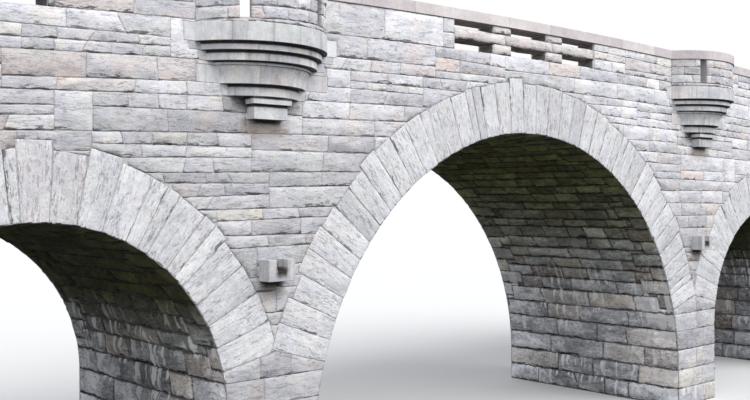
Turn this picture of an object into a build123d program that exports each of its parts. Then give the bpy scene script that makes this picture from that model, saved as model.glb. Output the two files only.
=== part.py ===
from build123d import *
import math
import os

# A stone bridge of three round arches. The middle arch is the widest, a pier stands each side of
# it, and a round balcony is corbelled out over each pier, on both faces of the bridge.
# X runs along the bridge, Y across it with the front face towards -Y, and Z up from the foot of
# the masonry, which is level. All sizes are in millimetres.

# Arches and piers
centre_radius = 6100.0
side_radius = 3250.0
pier_thickness = 1830.0
pier_foot = 900.0          # springing of the middle arch above the foot of the piers
side_rise = 1080.0         # springing of the side arches above that of the middle arch
skewback_rise = 2000.0     # height above the middle springing where the two rings part
abutment_length = 4400.0
bridge_width = 5760.0

# Stones round an arch, each with a flat underside: between its two sloping beds, and from each
# springing up to the bed
centre_stones = 39
side_stones = 21
haunch_stones = 3

# Rings of wedge stones, seen on both faces, with the vault between them
ring_depth = 1090.0
ring_bond = 600.0          # how far the ring stones reach in from the face

# Road, crowned along the bridge
crown_cover = 323.0        # masonry and gravel between the middle ring and the road surface
curve_radius = 235000.0
road_thickness = 150.0

# Parapets and their coping
parapet_thickness = 460.0
parapet_height = 850.0     # road surface to the underside of the coping
coping_height = 226.0
coping_overhang = 40.0

# Groups of slots under the coping: two rows of three, with a rail between the rows
slot_width = 1225.0
stub_width = 570.0
slot_columns = 3
upper_slot = 170.0
rail_height = 232.0
lower_slot = 213.0
side_group_distance = 6215.0    # from a balcony's axis to the middle of the outer group

# Balconies: a round wall on a stack of rings, centred inside the face of the bridge
pier_to_balcony = 145.0    # axis of a balcony beyond the middle of its pier
balcony_setback = 725.0
balcony_radius = 1525.0    # outside of the balcony's wall
balcony_wall = 380.0
kerb_height = 150.0        # top of the smooth band above the balcony's floor
slit_angle = 30.0
slit_width = 190.0
slit_sill = 70.0           # masonry between the band and the foot of a slit

# Rings under a balcony from the top down: radius and height. Each is cut with narrow flats.
ring_flat_count = 72
band = (1557.0, 310.0)
upper_ring = (1459.0, 134.0)
lower_ring = (1371.0, 165.0)
fillet_ring = (1262.0, 62.0)
foot_ring = (1047.0, 191.0)
cove_top_radius = 1236.0
cove_foot_radius = 1161.0
cove_height = 298.0
cove_hollow = 26.0

# Corbel blocks under the rings, from the top down: width, projection and height
cap_block = (800.0, 280.0, 126.0)
lower_block = (700.0, 215.0, 253.0)

# Drain spouts on the piers, with a channel that is open at the top
spout_width = 550.0
spout_height = 375.0
spout_reach = 320.0
spout_rise = 1433.0        # middle of the spout above the head of the pier
channel_width = 230.0
channel_depth = 210.0

# Worked out from the sizes above
face = bridge_width / 2
centre_springing = pier_foot
side_springing = pier_foot + side_rise
head_level = pier_foot + skewback_rise
side_centre = centre_radius + pier_thickness + side_radius
half_length = side_centre + side_radius + abutment_length
road_crown = centre_springing + centre_radius + ring_depth + crown_cover
road_half_width = face - parapet_thickness
pier_axis = centre_radius + pier_thickness / 2
balcony_axis = pier_axis + pier_to_balcony
side_group_offset = balcony_axis + side_group_distance
spout_level = head_level + spout_rise
channel_wall_height = channel_depth - channel_width / 2
channel_wall_top = spout_level + spout_height / 2
coping_inner_radius = balcony_radius - balcony_wall - coping_overhang
coping_outer_radius = balcony_radius + coping_overhang
group_width = slot_columns * slot_width + (slot_columns - 1) * stub_width
group_drop = upper_slot + rail_height + lower_slot
centre_start = math.degrees(math.asin(skewback_rise / (centre_radius + ring_depth)))
side_start = math.degrees(math.asin((skewback_rise - side_rise) / (side_radius + ring_depth)))
arches = {
    "left": (-side_centre, side_springing, side_radius, side_start, side_stones),
    "centre": (0.0, centre_springing, centre_radius, centre_start, centre_stones),
    "right": (side_centre, side_springing, side_radius, side_start, side_stones),
}
ends = {"left": -1, "right": 1}
faces = {"front": -1, "back": 1}


def road_height(x, above=0.0):
    """Height at x of the line that runs parallel to the crowned road, so far above it."""
    return road_crown - curve_radius + math.sqrt((curve_radius + above) ** 2 - x**2)


def strip(start, end, low, high):
    """Upright strip along the bridge between two heights above the road, seen from the front."""
    middle = (start + end) / 2
    bottom = [(x, road_height(x, low)) for x in (start, middle, end)]
    top = [(x, road_height(x, high)) for x in (end, middle, start)]
    with BuildSketch() as outline:
        with BuildLine():
            ThreePointArc(*bottom)
            Line(bottom[2], top[0])
            ThreePointArc(*top)
            Line(top[2], bottom[0])
        make_face()
    return outline.sketch


def points_round(centre, springing, radius, angles):
    """Points at the given angles on a circle about the middle of an arch."""
    turns = [math.radians(angle) for angle in angles]
    return [(centre + radius * math.cos(t), springing + radius * math.sin(t)) for t in turns]


def ring_angles(start, stones):
    """Angles of the joints between the ring stones of an arch, bed to bed."""
    return [start + (180 - 2 * start) * joint / stones for joint in range(stones + 1)]


def arch_void(centre, springing, radius, start, stones):
    """The open space under an arch, down to the foot of its piers."""
    haunch = [start * joint / haunch_stones for joint in range(haunch_stones)]
    angles = haunch + ring_angles(start, stones) + [180 - angle for angle in reversed(haunch)]
    curve = points_round(centre, springing, radius, angles)
    with BuildSketch() as outline:
        with BuildLine():
            Polyline((centre + radius, 0), *curve, (centre - radius, 0), close=True)
        make_face()
    return outline.sketch


def arch_ring(centre, springing, radius, start, stones):
    """The ring of an arch between its two sloping beds, seen from the front."""
    angles = ring_angles(start, stones)
    inner = points_round(centre, springing, radius, angles)
    outer = points_round(centre, springing, radius + ring_depth, reversed(angles))
    with BuildSketch() as outline:
        with BuildLine():
            Polyline(*inner, *outer, close=True)
        make_face()
    return outline.sketch


def box_view(start, end, low, high):
    """Upright rectangle between two places along the bridge and two heights."""
    with BuildSketch() as outline:
        with Locations(((start + end) / 2, (low + high) / 2)):
            Rectangle(abs(end - start), high - low)
    return outline.sketch


os.makedirs("parts", exist_ok=True)


def save(piece, name):
    """Label a finished piece and write it."""
    piece.part.label = name
    export_step(piece.part, f"parts/{name}.step")


# Piers, from the foot to the sloping beds that carry the rings
for side, sign in ends.items():
    with BuildPart() as pier:
        with BuildSketch(Plane.XZ):
            add(box_view(0, sign * side_centre, 0, head_level))
            for arch in arches.values():
                add(arch_void(*arch), mode=Mode.SUBTRACT)
                add(arch_ring(*arch), mode=Mode.SUBTRACT)
        extrude(amount=face, both=True)
    save(pier, f"pier_{side}")

# Masonry over each pier, from the pier's head up to the bed of the road
top_level = road_height(0, -road_thickness)
for side, sign in ends.items():
    start, end = sorted((0, sign * side_centre))
    with BuildPart() as spandrel:
        with BuildSketch(Plane.XZ):
            add(box_view(start, end, head_level, top_level))
            add(strip(start, end, -road_thickness, parapet_height), mode=Mode.SUBTRACT)
            for arch in arches.values():
                add(arch_void(*arch), mode=Mode.SUBTRACT)
                add(arch_ring(*arch), mode=Mode.SUBTRACT)
        extrude(amount=face, both=True)
    save(spandrel, f"spandrel_{side}")

# Abutments, from the crown of each side arch to the end of the bridge
for side, sign in ends.items():
    start, end = sorted((sign * side_centre, sign * half_length))
    with BuildPart() as abutment:
        with BuildSketch(Plane.XZ):
            add(box_view(start, end, 0, top_level))
            add(strip(start, end, -road_thickness, parapet_height), mode=Mode.SUBTRACT)
            add(arch_void(*arches[side]), mode=Mode.SUBTRACT)
            add(arch_ring(*arches[side]), mode=Mode.SUBTRACT)
        extrude(amount=face, both=True)
    save(abutment, f"abutment_{side}")

# Rings of wedge stones on both faces, and the vault between them
for name, arch in arches.items():
    for side, sign in faces.items():
        with BuildPart() as ring:
            with BuildSketch(Plane.XZ.offset(-sign * (face - ring_bond / 2))):
                add(arch_ring(*arch))
                if name != "centre":
                    add(arch_ring(*arches["centre"]), mode=Mode.SUBTRACT)
            extrude(amount=ring_bond / 2, both=True)
        save(ring, f"arch_ring_{name}_{side}")
    with BuildPart() as vault:
        with BuildSketch(Plane.XZ):
            add(arch_ring(*arch))
            if name != "centre":
                add(arch_ring(*arches["centre"]), mode=Mode.SUBTRACT)
        extrude(amount=face - ring_bond, both=True)
    save(vault, f"vault_{name}")

# Gravel road between the parapets, which reaches out into the mouths of the balconies
balcony_points = [
    (end * balcony_axis, side * (face - balcony_setback))
    for end in ends.values()
    for side in faces.values()
]
sky = road_crown + parapet_height + 2 * coping_height
with BuildPart() as roadway:
    with BuildSketch():
        Rectangle(2 * half_length, 2 * road_half_width)
        with Locations(*balcony_points):
            Circle(balcony_radius - balcony_wall)
        Rectangle(2 * half_length, 2 * face, mode=Mode.INTERSECT)
    extrude(amount=sky)
    with BuildSketch(Plane.XZ):
        add(strip(-half_length, half_length, -road_thickness, 0))
    extrude(amount=face, both=True, mode=Mode.INTERSECT)
save(roadway, "roadway")

# Parapet walls between the balconies, each with a notch for its group of slots
spans = {
    "left": (-half_length, -balcony_axis, -side_group_offset),
    "centre": (-balcony_axis, balcony_axis, 0.0),
    "right": (balcony_axis, half_length, side_group_offset),
}
parapet_y = face - parapet_thickness / 2
for name, (start, end, middle) in spans.items():
    notch = (middle - group_width / 2, middle + group_width / 2)
    for side, sign in faces.items():
        with BuildPart() as parapet:
            with BuildSketch(Plane.XZ.offset(-sign * parapet_y)):
                add(strip(start, end, -road_thickness, parapet_height))
                add(strip(*notch, parapet_height - group_drop, sky), mode=Mode.SUBTRACT)
            extrude(amount=parapet_thickness / 2, both=True)
            with BuildSketch():
                with Locations(*balcony_points):
                    Circle(balcony_radius - balcony_wall)
            extrude(amount=sky, mode=Mode.SUBTRACT)
        save(parapet, f"parapet_{side}_{name}")

        # The rail between the two rows of slots, with the stubs that stand under and over it
        rail_top = parapet_height - upper_slot
        with BuildPart() as grille:
            with BuildSketch(Plane.XZ.offset(-sign * parapet_y)):
                add(strip(*notch, rail_top - rail_height, rail_top))
                for column in range(1, slot_columns):
                    stub_start = notch[0] + column * slot_width + (column - 1) * stub_width
                    stub = (stub_start, stub_start + stub_width)
                    add(strip(*stub, parapet_height - group_drop, parapet_height))
            extrude(amount=parapet_thickness / 2, both=True)
        save(grille, f"slot_grille_{side}_{name}")

# Coping of the straight parapets, in three lengths on each face
for side, sign in faces.items():
    with BuildPart() as coping:
        with BuildSketch(Plane.XZ.offset(-sign * parapet_y)):
            add(strip(-half_length, half_length, parapet_height, parapet_height + coping_height))
        extrude(amount=parapet_thickness / 2 + coping_overhang, both=True)
        with BuildSketch():
            with Locations(*balcony_points):
                Circle(coping_inner_radius)
        extrude(amount=sky, mode=Mode.SUBTRACT)
    save(coping, f"coping_{side}")

# Balconies
floor_level = road_height(balcony_axis)
kerb_level = floor_level + kerb_height
for side, out in faces.items():
    for end, sign in ends.items():
        centre_x = sign * balcony_axis
        centre_y = out * (face - balcony_setback)

        # Stack of rings, with the floor and the band round it, and the corbel blocks below
        with BuildPart() as corbel:
            level = kerb_level
            for radius, height in (band, upper_ring, lower_ring, fillet_ring):
                level -= height
                with BuildSketch(Plane.XY.offset(level)):
                    with Locations((centre_x, centre_y)):
                        RegularPolygon(radius, ring_flat_count)
                extrude(amount=height)
            middle_radius = (cove_top_radius + cove_foot_radius) / 2 - cove_hollow
            for step, radius in enumerate((cove_top_radius, middle_radius, cove_foot_radius)):
                with BuildSketch(Plane.XY.offset(level - step * cove_height / 2)):
                    with Locations((centre_x, centre_y)):
                        RegularPolygon(radius, ring_flat_count)
            loft(ruled=True)
            foot_level = level - cove_height - foot_ring[1]
            with BuildSketch(Plane.XY.offset(foot_level)):
                with Locations((centre_x, centre_y)):
                    RegularPolygon(foot_ring[0], ring_flat_count)
            extrude(amount=foot_ring[1])
            with BuildSketch(Plane.XY.offset(floor_level)):
                with Locations((centre_x, centre_y)):
                    Circle(balcony_radius - balcony_wall)
            extrude(amount=kerb_height, mode=Mode.SUBTRACT)
            with BuildSketch():
                with Locations((centre_x, 0)):
                    Rectangle(2 * band[0] + 2 * coping_overhang, 2 * face)
            extrude(amount=sky, mode=Mode.SUBTRACT)
            for width, reach, height in (cap_block, lower_block):
                foot_level -= height
                with BuildSketch(Plane.XY.offset(foot_level)):
                    with Locations((centre_x, out * (face + reach / 2))):
                        Rectangle(width, reach)
                extrude(amount=height)
        save(corbel, f"balcony_corbel_{side}_{end}")

        # Round wall with two slits, on a sill course
        with BuildPart() as wall:
            with BuildSketch(Plane.XY.offset(kerb_level)):
                with Locations((centre_x, centre_y)):
                    Circle(balcony_radius)
                    Circle(balcony_radius - balcony_wall, mode=Mode.SUBTRACT)
                with Locations((centre_x, 0)):
                    Rectangle(3 * balcony_radius, 2 * face, mode=Mode.SUBTRACT)
            extrude(amount=sky - kerb_level)
            with BuildSketch(Plane.XY.offset(kerb_level + slit_sill)):
                for turn in (-slit_angle, slit_angle):
                    with Locations(Location((centre_x, centre_y), turn)):
                        with Locations((0, out * balcony_radius)):
                            Rectangle(slit_width, 3 * balcony_wall)
            extrude(amount=sky, mode=Mode.SUBTRACT)
            with BuildSketch(Plane.XZ):
                add(strip(centre_x - band[0], centre_x + band[0], 0, parapet_height))
            extrude(amount=face + balcony_radius, both=True, mode=Mode.INTERSECT)
        save(wall, f"balcony_wall_{side}_{end}")

        # Curved coping, level with the coping of the parapets
        with BuildPart() as cap:
            with BuildSketch():
                with Locations((centre_x, centre_y)):
                    Circle(coping_outer_radius)
                    Circle(coping_inner_radius, mode=Mode.SUBTRACT)
                with Locations((centre_x, 0)):
                    Rectangle(3 * balcony_radius, 2 * (face + coping_overhang), mode=Mode.SUBTRACT)
            extrude(amount=sky)
            with BuildSketch(Plane.XZ):
                add(
                    strip(
                        centre_x - coping_outer_radius,
                        centre_x + coping_outer_radius,
                        parapet_height,
                        parapet_height + coping_height,
                    )
                )
            extrude(amount=face + coping_outer_radius, both=True, mode=Mode.INTERSECT)
        save(cap, f"balcony_coping_{side}_{end}")

# Drain spouts, one on the axis of each pier, each with an open channel on a round bed
for side, out in faces.items():
    with BuildPart() as spouts:
        with BuildSketch(Plane.XZ.offset(-out * face)):
            for sign in ends.values():
                with Locations((sign * pier_axis, spout_level)):
                    Rectangle(spout_width, spout_height)
                with Locations((sign * pier_axis, channel_wall_top - channel_wall_height / 2)):
                    Rectangle(channel_width, channel_wall_height, mode=Mode.SUBTRACT)
                with Locations((sign * pier_axis, channel_wall_top - channel_wall_height)):
                    Circle(channel_width / 2, mode=Mode.SUBTRACT)
        extrude(amount=-out * spout_reach)
    save(spouts, f"spouts_{side}")
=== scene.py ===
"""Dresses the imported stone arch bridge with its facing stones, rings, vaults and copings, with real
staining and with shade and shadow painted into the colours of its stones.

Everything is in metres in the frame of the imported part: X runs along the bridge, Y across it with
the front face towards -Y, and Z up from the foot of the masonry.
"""
import logging
import math
from collections.abc import Callable, Iterable, Iterator, Sequence
from dataclasses import dataclass
from enum import Enum
from itertools import pairwise
from typing import Any

import bpy
import numpy as np
from mathutils import Matrix, Vector
from mathutils.geometry import delaunay_2d_cdt


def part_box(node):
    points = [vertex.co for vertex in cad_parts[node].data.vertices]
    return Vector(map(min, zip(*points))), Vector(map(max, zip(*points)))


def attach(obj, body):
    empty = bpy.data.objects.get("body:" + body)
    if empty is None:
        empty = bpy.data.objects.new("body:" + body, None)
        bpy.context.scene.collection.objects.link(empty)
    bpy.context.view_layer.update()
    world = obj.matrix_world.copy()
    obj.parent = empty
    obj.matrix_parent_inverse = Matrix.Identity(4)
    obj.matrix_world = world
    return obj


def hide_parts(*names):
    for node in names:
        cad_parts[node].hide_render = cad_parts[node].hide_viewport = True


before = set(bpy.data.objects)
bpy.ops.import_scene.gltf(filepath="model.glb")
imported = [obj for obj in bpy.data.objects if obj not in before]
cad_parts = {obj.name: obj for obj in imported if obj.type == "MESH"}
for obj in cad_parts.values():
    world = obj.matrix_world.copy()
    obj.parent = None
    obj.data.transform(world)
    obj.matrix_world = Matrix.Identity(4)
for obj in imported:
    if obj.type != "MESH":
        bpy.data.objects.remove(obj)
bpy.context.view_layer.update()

Array = np.ndarray
Pair = tuple[float, float]
Triple = tuple[float, float, float]
Material = bpy.types.Material

LOG = logging.getLogger("bridge")
BODY = "root"

# How far the rims of the stones stand out, and how far outlines that cut stones reach past them
EDGE = 0.006
CLEAR = 0.2


class Side(Enum):
    """A side of the bridge, by the sign of the axis that it looks along."""

    @property
    def label(self) -> str:
        """Name used in nodes and pieces."""
        return self.name.lower()


class Face(Side):
    """The two long faces of the bridge, which look along Y."""

    FRONT = -1
    BACK = 1


class End(Side):
    """The two ends of the bridge, which look along X."""

    LEFT = -1
    RIGHT = 1


class Slot(Enum):
    """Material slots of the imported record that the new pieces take."""

    ROUGH = "rough_stone"
    RING = "ring_stone"
    VAULT = "vault_stone"
    CORBEL = "corbel_stone"
    COPING = "coping_stone"


# Sizes and places


@dataclass(frozen=True)
class Arch:
    """One arch, seen from the front."""

    name: str
    centre: float
    springing: float
    radius: float
    bed: float
    stones: int

    @property
    def joints(self) -> Array:
        """Angles of the joints of the ring, from the right-hand bed to the left-hand one."""
        return np.linspace(self.bed, math.pi - self.bed, self.stones + 1)

    def at(self, angles: Array, radii: Array | float) -> Array:
        """Rows of x and z at some angles and distances from the middle of the arch."""
        x = self.centre + np.cos(angles) * radii
        return np.stack((x, self.springing + np.sin(angles) * radii), axis=1)

    def turn_at(self, height: float) -> float:
        """Angle at which the underside of the arch stands at a height."""
        return math.asin((height - self.springing) / self.radius)


@dataclass(frozen=True)
class Bridge:
    """Driving sizes, as in the part's source, and the places that follow from the frame."""

    centre_radius: float = 6.1
    side_radius: float = 3.25
    pier: float = 1.83
    pier_foot: float = 0.9
    side_rise: float = 1.08
    skewback: float = 2.0
    ring_depth: float = 1.09
    centre_stones: int = 39
    side_stones: int = 21
    curve: float = 235.0
    parapet: float = 0.46
    parapet_height: float = 0.85
    coping: float = 0.226
    coping_overhang: float = 0.04
    slot_width: float = 1.225
    stub_width: float = 0.57
    slot_columns: int = 3
    upper_slot: float = 0.17
    rail: float = 0.232
    lower_slot: float = 0.213
    group_distance: float = 6.215
    pier_to_balcony: float = 0.145
    setback: float = 0.725
    balcony_radius: float = 1.525
    balcony_wall: float = 0.38
    kerb: float = 0.15
    slit_turn: float = 30.0
    slit_width: float = 0.19
    slit_sill: float = 0.07

    @property
    def face(self) -> float:
        """Distance of each long face from the middle of the bridge."""
        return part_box("pier_left")[1].y

    @property
    def half_length(self) -> float:
        """Distance of each end from the middle of the bridge."""
        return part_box("roadway")[1].x

    @property
    def head(self) -> float:
        """Height of the heads of the piers."""
        return self.pier_foot + self.skewback

    @property
    def coping_bed(self) -> float:
        """Height of the underside of the coping at the crown."""
        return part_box("coping_front")[1].z - self.coping

    @property
    def road(self) -> float:
        """Height of the road at the crown."""
        return self.coping_bed - self.parapet_height

    @property
    def pier_axis(self) -> float:
        """Distance of the axis of each pier from the middle, along the bridge."""
        return self.centre_radius + self.pier / 2

    @property
    def balcony_axis(self) -> float:
        """Distance of the axis of each balcony from the middle, along the bridge."""
        return self.pier_axis + self.pier_to_balcony

    @property
    def kerb_level(self) -> float:
        """Height of the top of the smooth band of a balcony."""
        return self.floor_level + self.kerb

    @property
    def floor_level(self) -> float:
        """Height of the floor of a balcony."""
        return self.road - float(self.drop(np.array([self.balcony_axis]))[0])

    @property
    def group_width(self) -> float:
        """Length of a group of slots."""
        return self.slot_columns * self.slot_width + (self.slot_columns - 1) * self.stub_width

    @property
    def group_drop(self) -> float:
        """Depth of a group of slots below the coping."""
        return self.upper_slot + self.rail + self.lower_slot

    @property
    def group_foot(self) -> float:
        """Height of the sill of a group of slots at the crown."""
        return self.coping_bed - self.group_drop

    @property
    def group_centres(self) -> dict[str, float]:
        """Middle of each group of slots along the bridge."""
        outer = self.balcony_axis + self.group_distance
        return {"left": -outer, "centre": 0.0, "right": outer}

    def drop(self, x: Array) -> Array:
        """How far the crowned road has fallen at some places along the bridge."""
        return self.curve - np.sqrt(self.curve**2 - x**2)

    def arches(self) -> list[Arch]:
        """The three arches, from left to right."""
        outer = self.centre_radius + self.pier + self.side_radius
        high = self.pier_foot + self.side_rise
        bed = math.asin(self.skewback / (self.centre_radius + self.ring_depth))
        side_bed = math.asin((self.head - high) / (self.side_radius + self.ring_depth))
        side = (high, self.side_radius, side_bed, self.side_stones)
        middle = (self.pier_foot, self.centre_radius, bed, self.centre_stones)
        return [Arch("left", -outer, *side), Arch("centre", 0.0, *middle), Arch("right", outer, *side)]


BRIDGE = Bridge()


# Nodes: one class wraps a socket, and one method adds any node


def operator(operation: str, reflected: bool = False) -> Callable[..., "Wire"]:
    """One of Python's operators as a method that adds a Math node."""

    def method(wire: "Wire", *others: "Wire | float") -> "Wire":
        """Result of the operator."""
        return wire.graph.math(operation, *((*others, wire) if reflected else (wire, *others)))

    return method


class Wire:
    """A node socket on which Python's operators do Math nodes."""

    def __init__(self, graph: "Graph", socket: bpy.types.NodeSocket) -> None:
        """Keeps the socket and the graph that it belongs to."""
        self.graph = graph
        self.socket = socket

    __add__ = __radd__ = operator("ADD")
    __mul__ = __rmul__ = operator("MULTIPLY")
    __sub__ = operator("SUBTRACT")
    __rsub__ = operator("SUBTRACT", reflected=True)
    __truediv__ = operator("DIVIDE")
    __rtruediv__ = operator("DIVIDE", reflected=True)
    __abs__ = operator("ABSOLUTE")
    larger = operator("MAXIMUM")
    smaller = operator("MINIMUM")

    def out(self, name: str) -> "Wire":
        """Another output of the same node."""
        return Wire(self.graph, self.socket.node.outputs[name])

    def ease(self, low: float, high: float, start: float = 0.0, end: float = 1.0) -> "Wire":
        """Smooth step from start at low to end at high."""
        values = (self, low, high, start, end)
        return self.graph.add("ShaderNodeMapRange", values, interpolation_type="SMOOTHSTEP")

    def fade(self, low: float, high: float) -> "Wire":
        """Smooth step from 1 at low to 0 at high."""
        return self.ease(low, high, 1.0, 0.0)

    def signed(self) -> "Wire":
        """A noise, moved to lie round 0."""
        return self - 0.5


class Graph:
    """Adds nodes to a material's tree or to a Geometry Nodes tree."""

    def __init__(self, tree: bpy.types.NodeTree) -> None:
        """Starts from an empty tree."""
        self.tree = tree
        tree.nodes.clear()

    def add(self, kind: str, inputs: Any = (), output: int | str = 0, **settings: Any) -> Wire:
        """Adds one node.

        Args:
            kind: Blender's name for the node's type.
            inputs: Values or wires of its sockets, in order or by name or place.
            output: The output that is wanted.
            **settings: Properties of the node, which are set before its sockets.

        Returns:
            That output.
        """
        node = self.tree.nodes.new(kind)
        for key, value in settings.items():
            setattr(node, key, value)
        pairs = inputs.items() if isinstance(inputs, dict) else enumerate(inputs)
        for key, value in pairs:
            if isinstance(value, Wire):
                self.tree.links.new(value.socket, node.inputs[key])
            else:
                node.inputs[key].default_value = value
        return Wire(self, node.outputs[output] if len(node.outputs) else node.inputs[0])

    def math(self, operation: str, *values: Wire | float) -> Wire:
        """Result of a Math node."""
        return self.add("ShaderNodeMath", values, operation=operation)

    def vector(self, operation: str, *values: Any) -> Wire:
        """Result of a Vector Math node."""
        return self.add("ShaderNodeVectorMath", values, operation=operation)

    def scaled(self, vector: Wire, factor: Wire | float) -> Wire:
        """A vector or colour times a number."""
        return self.add("ShaderNodeVectorMath", {0: vector, "Scale": factor}, operation="SCALE")

    def combine(self, *values: Wire | float) -> Wire:
        """Vector of three numbers."""
        return self.add("ShaderNodeCombineXYZ", values)

    def split(self, vector: Wire) -> tuple[Wire, Wire, Wire]:
        """The three numbers of a vector."""
        x = self.add("ShaderNodeSeparateXYZ", (vector,))
        return x, x.out("Y"), x.out("Z")

    def mix(self, factor: Wire | float, first: Wire | Triple, second: Wire | Triple) -> Wire:
        """Mix of two colours."""
        colours = [c if isinstance(c, Wire) else (*c, 1.0) for c in (first, second)]
        inputs = {0: factor, 6: colours[0], 7: colours[1]}
        return self.add("ShaderNodeMix", inputs, 2, data_type="RGBA", clamp_factor=True)

    def noise(
        self,
        place: Wire,
        scale: float,
        detail: float = 2.0,
        rough: float = 0.5,
        stretch: Triple | None = None,
        shift: Triple | None = None,
    ) -> Wire:
        """Noise from 0 to 1.

        Args:
            place: Coordinates.
            scale: Bumps a metre.
            detail: Finer layers added.
            rough: Weight of the finer layers.
            stretch: Factors for the coordinates.
            shift: What is then added to them.

        Returns:
            The noise at each place.
        """
        if stretch:
            place = self.vector("MULTIPLY", place, stretch)
        if shift:
            place = self.vector("ADD", place, shift)
        inputs = {"Vector": place, "Scale": scale, "Detail": detail, "Roughness": rough}
        return self.add("ShaderNodeTexNoise", inputs, noise_dimensions="3D")

    def surface(self, colour: Wire, roughness: Wire | float, height: Wire, depth: float) -> None:
        """Ends a material in one shader, with a bump of some depth in metres."""
        bump = self.add("ShaderNodeBump", {"Strength": 1.0, "Distance": depth, "Height": height})
        inputs = {"Base Color": colour, "Roughness": roughness, "Normal": bump}
        self.add("ShaderNodeOutputMaterial", (self.add("ShaderNodeBsdfPrincipled", inputs),))


def new_material(name: str) -> tuple[Material, Graph, Wire]:
    """A material, the graph of its empty tree, and Object coordinates in it."""
    material = bpy.data.materials.new(name)
    material.use_nodes = True
    graph = Graph(material.node_tree)
    return material, graph, graph.add("ShaderNodeTexCoord", output="Object")


# Finishes


@dataclass(frozen=True)
class Stain:
    """Dark patch at both piers that runs down from some height. Some are real staining; others are painted
    shadows under the balcony blocks, the foot rings and the spouts.
    """

    axis: float
    top: float
    half: float
    length: float
    strength: float
    colour: Triple = (0.20, 0.16, 0.13)


@dataclass(frozen=True)
class StoneFinish:
    """Granite as it shows on one kind of stone, from fresh rock face to smooth dressing."""

    slot: Slot
    cool: Triple
    pale: Triple
    pink: Triple = (0.88, 0.76, 0.71)
    cream: Triple = (0.91, 0.85, 0.76)
    moss: Triple = (0.72, 0.74, 0.69)
    drift: float = 0.0
    mottle: float = 0.30
    fleck: float = 0.30
    tone: float = 0.10
    chips: float = 0.45
    # Strength of the painted shadow under ledges of rock face
    ledge: float = 0.72
    cracks: float = 0.42
    # Painted shade along each stone's seams
    seam: float = 0.12
    seam_width: float = 0.018
    # Painted shade at the foot of each stone
    under: float = 0.74
    under_height: float = 0.034
    # Painted shade on what looks down
    underside_shade: float = 0.80
    bump: float = 0.036
    stretch: Triple = (0.8, 1.25, 1.0)
    streaks: float = 0.0
    # Painted shadow along the top of a stone that sits under another
    ring_shadow: float = 0.0
    lime: float = 0.0
    lime_axes: Triple = (7.0, 7.0, 0.35)
    lime_top: float = 1.0
    # Painted shade towards a vault's crown, with an olive tint
    soot: Triple | None = None
    # Patches of real staining, and of painted shadow under blocks, rings and spouts
    stains_and_shadows: tuple[Stain, ...] = ()
    # Painted shade that darkens the stone lower down and towards the left end
    weather: Pair | None = None
    rough: float = 0.88


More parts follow.
